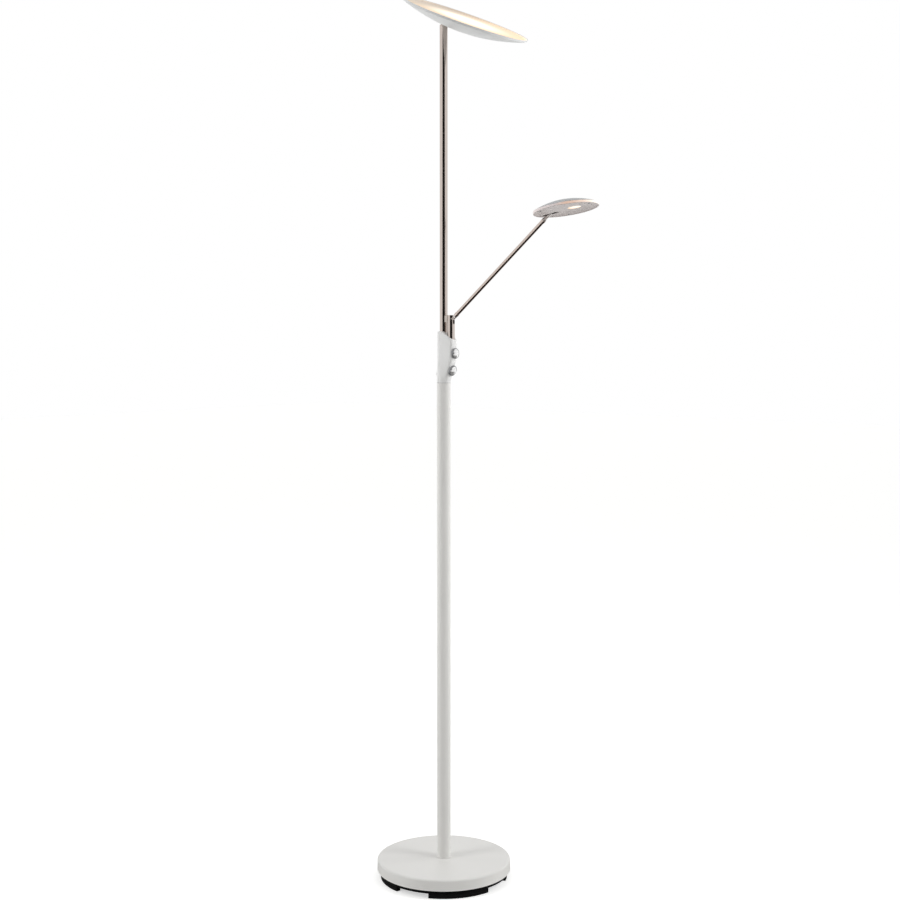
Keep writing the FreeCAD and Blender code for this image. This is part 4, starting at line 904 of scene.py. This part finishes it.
class LAMP_OT_reading_head(LampOperator):
    """Reading head: domed cover, side band, recessed plate with its slot and screws, and the lens"""
    bl_idname = "lamp.reading_head"
    bl_label = "Reading head"

    def execute(self, context):
        sizes = self.sizes
        body, place = "reading_head", facing_frame("head_plate", -1.4 * MM)
        radius, band = width("head_shell"), sizes.band
        lacquer = powder_coated_steel("silver_lacquer", self.colours.head, 0.34, 0.05)
        warm = powder_coated_steel("warm_silver_lacquer", linear("#CDC4C2"), 0.4, 0.05)
        # The band is no lamp: its glow is a painted reflection, tan to peach to cream, with painted shade
        # in grey mauve on the other side.
        band_painted_reflection = glow_and_painted_light("band_painted_reflection_glow", place @ Matrix.Rotation(BAND_PAINTED_LIGHT_TURN, 4, "Z"), radius, 0.0,
                              "#B08468", ("#8E8484", "#8E8484", "#B5855F", "#C4A58A", "#E0DCC6"), 0.85,
                              "#CFC8C6")
        outer, inside = dish_walls(radius, band, sizes.dome, 1.2 * MM, 1)
        inner, rim_bottom = radius - 2.25 * MM, 2 * MM
        lining = inner - 1.2 * MM
        corners = [(radius - 0.3 * MM, band + 0.02 * MM)] + outer[1:]
        corners += [corner for corner in inside if corner[0] < lining - 0.1 * MM]
        corners += [(lining, band + 0.5 * MM), (lining, rim_bottom), (inner, rim_bottom),
                    (inner, band + 0.3 * MM)]
        dress(lathe("domed_cover", corners, 128, place), lacquer, body, "head_shell")
        bottom, top, band_inner, band_round = 0.7 * MM, band - 0.1 * MM, radius - 2.2 * MM, 0.4 * MM
        corners = [(band_inner, bottom, 0.1 * MM), (radius, bottom, band_round), (radius, top, band_round),
                   (band_inner, top, 0.2 * MM)]
        dress(lathe("side_band", corners, 128, place), band_painted_reflection, body, "head_band")
        low, high, through = 0.8 * MM, 2.0 * MM, 4 * MM
        lens_place, flange = facing_frame("head_lens"), width("head_lens")
        lens_at, lens_radius = (place.inverted() @ lens_place).to_translation().x, flange - 1.8 * MM
        lip_inner, lip_outer, lip_top = inner - 0.9 * MM, radius - 0.1 * MM, bottom - 0.05 * MM
        lip_round = 0.3 * MM
        corners = [(0, low), (lip_inner, low), (lip_inner, 0, lip_round), (lip_outer, 0, lip_round),
                   (lip_outer, lip_top, 0.1 * MM), (inner, lip_top), (inner, high), (0, high)]
        plate = lathe("slotted_plate", corners, 128, pieces=3)
        near, far, half, border = -52 * MM, -21 * MM, 2.4 * MM, 1.4 * MM
        slot = (near, -half, -MM), (far, half, through)
        carve(plate, [block(*slot),
                      rod(lens_radius + 0.05 * MM, (lens_at, 0, -MM), (lens_at, 0, through))])
        soften(plate, 0.25 * MM)
        plate.data.transform(place)
        dress(plate, warm, body, "head_plate")
        # The black frame round the slot on the plate's face is painted shade that widens the slot's dark
        # line.
        black_and_painted_shade = moulded_plastic("slot_shade_plastic", self.colours.black_and_painted_shade, 0.5, shine=0.2)
        slot_shade_frame = to_object("slot_edging", block((near - border, -half - border, 0.3 * MM),
                                                (far + border, half + border, low)))
        soften(carve(slot_shade_frame, [block(*slot)]), 0.2 * MM)
        slot_shade_frame.data.transform(place)
        dress(slot_shade_frame, black_and_painted_shade, body, slot_of="head_plate")
        glow = glow_and_painted_light("lens_acrylic", lens_place, 14 * MM, 0.0, "#FFF6E8",
                             ("#E8C9A8", "#FFF0DC"), 1.1)
        corners = [(0, MM)]
        for ridge in range(1, 6):
            reach = lens_radius * ridge / 5.4
            corners += [(reach, 0.85 * MM), (reach + 0.2 * MM, 1.05 * MM)]
        lens_top = 3.2 * MM
        corners += [(lens_radius, low, 0.2 * MM), (lens_radius, high), (flange, high),
                    (flange, lens_top), (0, lens_top)]
        lens = lathe("ringed_lens", corners, 64, place @ Matrix.Translation((lens_at, 0, 0)))
        dress(lens, glow, body, "head_lens")
        zinc, screw_circle = bpy.data.materials["zinc_plate"], 53 * MM
        heads = ring_of("plate_screw_heads", screw_head(2.4 * MM, 0.8 * MM), 3, screw_circle, -low, zinc,
                        place @ UPSIDE_DOWN)
        dress(heads, zinc, body, "head_screws")
        steel = bpy.data.materials["satin_steel"]
        dress(refined("head_bracket", 0.2 * MM), steel, body, "head_bracket")
        dress_nodes(steel, "head_pin", "bracket_rivets")
        return {"FINISHED"}


class LAMP_OT_torch_head(LampOperator):
    """Torch dish: pressed bowl with its slot, translucent rim ring and glowing diffuser"""
    bl_idname = "lamp.torch_head"
    bl_label = "Torch head"

    def execute(self, context):
        sizes = self.sizes
        body, place = "torch_head", facing_frame("torch_diffuser", 3.25 * MM)
        radius, wall, rim_round = width("torch_shell"), 1.2 * MM, 0.5 * MM
        lacquer = powder_coated_steel("dish_lacquer", self.colours.dish, 0.38, 0.2)
        outer, inside = dish_walls(radius, sizes.edge, sizes.bowl, wall, -1)
        corners = outer + inside + [(radius - wall, 0, rim_round), (radius, 0, rim_round)]
        shell = lathe("pressed_bowl", corners, 192, pieces=3)
        far, near, half, slot_top = -61.6 * MM, -44.6 * MM, 4.8 * MM, -17.3 * MM
        carve(shell, [block((far, -half, -50 * MM), (near, half, slot_top))])
        shell.data.transform(place)
        dress(shell, lacquer, body, "torch_shell")
        sheet_place, reach = facing_frame("torch_diffuser"), width("torch_diffuser")
        # The rim ring and the opal sheet glow with the lamp's own light, but their grey brown inboard side
        # is painted shade, where the dish's far inner wall lies in shade.
        rim_glow_painted_shade = glow_and_painted_light("translucent_rim_plastic_painted_shade", sheet_place, radius, 0.0, "#F6DDBE",
                                ("#8A7C6C", "#D9C0A4", "#F4DCC0"), 0.8, "#D8CFC6")
        ring, low, high = radius - wall - 0.15 * MM, -2.5 * MM, -0.5 * MM
        ring_inner = ring - 3.2 * MM
        corners = [(ring_inner, low), (ring, low), (ring, high, 0.5 * MM),
                   (ring_inner, high, 0.8 * MM)]
        dress(lathe("rim_ring", corners, 192, place), rim_glow_painted_shade, body, "torch_rim_ring")
        glow = glow_and_painted_light("opal_acrylic_painted_shade", sheet_place, reach, 0.07, "#FFF8E8",
                             ("#A39482", "#D9BC98", "#EDC79A"), 1.1)
        under = -4 * MM
        corners = [(0, under), (reach, under), (reach, low, 0.4 * MM), (0, low)]
        sheet = lathe("opal_sheet", corners, 128, place)
        dress(sheet, glow, body, "torch_diffuser")
        steel = bpy.data.materials["satin_steel"]
        dress(refined("torch_bracket", 0.3 * MM), steel, body, "torch_bracket")
        dress_nodes(steel, "torch_bolt", "torch_washers", "torch_nut")
        return {"FINISHED"}


# ---- what the casings hide

class LAMP_OT_inside(LampOperator):
    """Finishes of the pieces inside the casings, which show as the CAD has them"""
    bl_idname = "lamp.inside"
    bl_label = "Inner pieces"

    def execute(self, context):
        dress_nodes(plated_metal("zinc_plate", linear("#B9BABC"), 0.3), *frame["nodes"])
        dress_nodes(cast_metal("cast_iron", linear("#4A4846"), 0.6, 0.6, 3.0), "base_weight")
        dress_nodes(cast_metal("die_cast_aluminium", linear("#A9AAAB"), 1.0, 0.42, 1.6), "housing_core")
        dress_nodes(drawn_metal("rolled_aluminium", linear("#C6C7C8"), 0.28, 0.0), "torch_spreader")
        for name, code, roughness, texture, depth, nodes in (
                ("white_solder_mask", "#EDEDE8", 0.35, 0.5, 0.01, ("torch_led_board", "head_led_board")),
                ("yellow_phosphor", "#E8C95A", 0.5, 0.4, 0.02, ("torch_leds",)),
                ("pvc_sheath", "#2B2B2D", 0.45, 1.5, 0.03, ("stand_lead", "upper_lead", "arm_lead")),
                ("white_driver_case", "#E4E4E2", 0.5, 1.0, 0.04, ("led_driver", "terminal_block")),
                ("phenolic_dimmer_body", "#3B2A20", 0.5, 0.7, 0.03, ("upper_dimmer", "lower_dimmer")),
                ("white_reflector_plastic", "#F1F0EC", 0.5, 0.6, 0.01,
                 ("torch_reflector", "head_led_holder"))):
            dress_nodes(moulded_plastic(name, linear(code), roughness, texture, depth), *nodes)
        return {"FINISHED"}


# ---- stage

CAMERA_AT = Vector((1.970, -2.328, 1.127))
CAMERA_TURN = (math.radians(85.51), 0, math.radians(40))
LENS = 60.19
SOFT_LIGHT, FLOOR_GLOW = 0.46, 0.55


def seen_share(tree):
    """1 on rays that show the background: the camera's, and those that metal and glass send on."""
    path = add(tree, "ShaderNodeLightPath").outputs
    both = add(tree, "ShaderNodeMath",
               {0: path["Is Camera Ray"], 1: path["Is Glossy Ray"]}, operation="MAXIMUM")
    return add(tree, "ShaderNodeMath",
               {0: both.outputs[0], 1: path["Is Transmission Ray"]}, operation="MAXIMUM").outputs[0]


def around(angle, distance, height):
    """Point round the lamp; angle is measured from the camera's side, to the right."""
    turn = math.atan2(CAMERA_AT.x, -CAMERA_AT.y) + math.radians(angle)
    return Vector((distance * math.sin(turn), -distance * math.cos(turn), height))


def softbox(name, angle, height, tall, power):
    """Upright rectangular light aimed at the lamp's pole; metal doesn't show it."""
    distance, wide, aim = 2.4, 0.9, Vector((0, 0, 0.8))
    data = bpy.data.lights.new(name, "AREA")
    data.shape = "RECTANGLE"
    data.size, data.size_y = wide, tall
    data.energy = power
    made = bpy.data.objects.new(name, data)
    made.location = around(angle, distance, height)
    made.rotation_euler = (aim - made.location).to_track_quat("-Z", "Y").to_euler()
    made.visible_glossy = False
    SCENE.collection.objects.link(made)


def flag(name, corners, colour, dims_light):
    """Dark screen that the metal reflects. The camera doesn't see it and it casts no shadow; it may
    also take the soft light away on its side."""
    mesh = bmesh.new()
    mesh.faces.new([mesh.verts.new(corner) for corner in corners])
    screen = to_object(name, mesh)
    screen.data.materials.append(finish(name, linear(colour), 1.0))
    screen.visible_camera = False
    screen.visible_shadow = False
    screen.visible_diffuse = dims_light


class LAMP_OT_stage(LampOperator):
    """Camera, white surroundings, pale floor, four softboxes and the dark screens the metal reflects"""
    bl_idname = "lamp.stage"
    bl_label = "Studio"

    def execute(self, context):
        data = bpy.data.cameras.new("camera")
        data.lens = LENS
        camera = bpy.data.objects.new("camera", data)
        camera.location = CAMERA_AT
        camera.rotation_euler = CAMERA_TURN
        SCENE.collection.objects.link(camera)
        SCENE.camera = camera
        world = bpy.data.worlds.new("studio")
        world.use_nodes = True
        SCENE.world = world
        tree = world.node_tree
        back = tree.nodes["Background"]
        back.inputs["Color"].default_value = (1, 1, 1, 1)
        strength = add(tree, "ShaderNodeMapRange",
                       {"Value": seen_share(tree), "To Min": SOFT_LIGHT, "To Max": 1.0})
        tree.links.new(strength.outputs["Result"], back.inputs["Strength"])
        reach, thick = 15, 0.02
        floor = to_object("floor", block((-reach, -reach, -thick), (reach, reach, 0)))
        paper = finish("floor_paper", linear("#F2F2F0"), 0.9)
        tree = paper.node_tree
        shader = tree.nodes["Principled BSDF"]
        glow = add(tree, "ShaderNodeMath", {0: seen_share(tree), 1: FLOOR_GLOW}, operation="MULTIPLY")
        shader.inputs["Emission Color"].default_value = (1, 1, 1, 1)
        tree.links.new(glow.outputs[0], shader.inputs["Emission Strength"])
        floor.data.materials.append(paper)
        softbox("softbox_left", -65, 1.7, 2.0, 22)
        softbox("softbox_right", 69, 1.7, 2.0, 25)
        softbox("side_softbox_left", -104, 1.2, 2.2, 8)
        softbox("side_softbox_right", 102, 1.2, 2.2, 13)
        screen_distance = 4.2
        outline = ((-38, 0), (38, 0), (38, 1.6), (24, 3.6), (-24, 3.6), (-38, 1.6))
        corners = [around(angle, screen_distance, level) for angle, level in outline]
        flag("dark_screen", corners, "#0E0A08", True)
        # A dark card on the floor that only reflections see: painted shade in the metal and in the base's
        # side, while the camera sees the white floor.
        half = 1.8
        corners = [(x * half, y * half, MM) for x, y in ((-1, -1), (1, -1), (1, 1), (-1, 1))]
        flag("dark_floor_card", corners, "#2E2420", False)
        SCENE.view_settings.view_transform = "Standard"
        return {"FINISHED"}


class LAMP_PT_panel(bpy.types.Panel):
    """Sizes, colours and steps of the lamp"""
    bl_label = "Lamp"
    bl_idname = "LAMP_PT_panel"
    bl_space_type = "VIEW_3D"
    bl_region_type = "UI"
    bl_category = "Lamp"

    def draw(self, context):
        for group in (SCENE.lamp_sizes, SCENE.lamp_colours):
            box = self.layout.box()
            for name in group.bl_rna.properties.keys():
                if name not in ("rna_type", "name"):
                    box.prop(group, name)
        for step in STEPS:
            self.layout.operator(step.bl_idname)


STEPS = (LAMP_OT_stage, LAMP_OT_inside, LAMP_OT_cover, LAMP_OT_lower_pole, LAMP_OT_tray,
         LAMP_OT_rubber, LAMP_OT_housing, LAMP_OT_knobs, LAMP_OT_poles, LAMP_OT_arm,
         LAMP_OT_reading_head, LAMP_OT_torch_head)
CLASSES = (LampSizes, LampColours, LAMP_PT_panel) + STEPS


def register():
    for kind in CLASSES:
        bpy.utils.register_class(kind)
    bpy.types.Scene.lamp_sizes = bpy.props.PointerProperty(type=LampSizes)
    bpy.types.Scene.lamp_colours = bpy.props.PointerProperty(type=LampColours)


def unregister():
    del bpy.types.Scene.lamp_sizes
    del bpy.types.Scene.lamp_colours
    for kind in reversed(CLASSES):
        bpy.utils.unregister_class(kind)


def main():
    register()
    for step in STEPS:
        getattr(bpy.ops.lamp, step.bl_idname.partition(".")[2])()


if __name__ == "__main__":
    main()
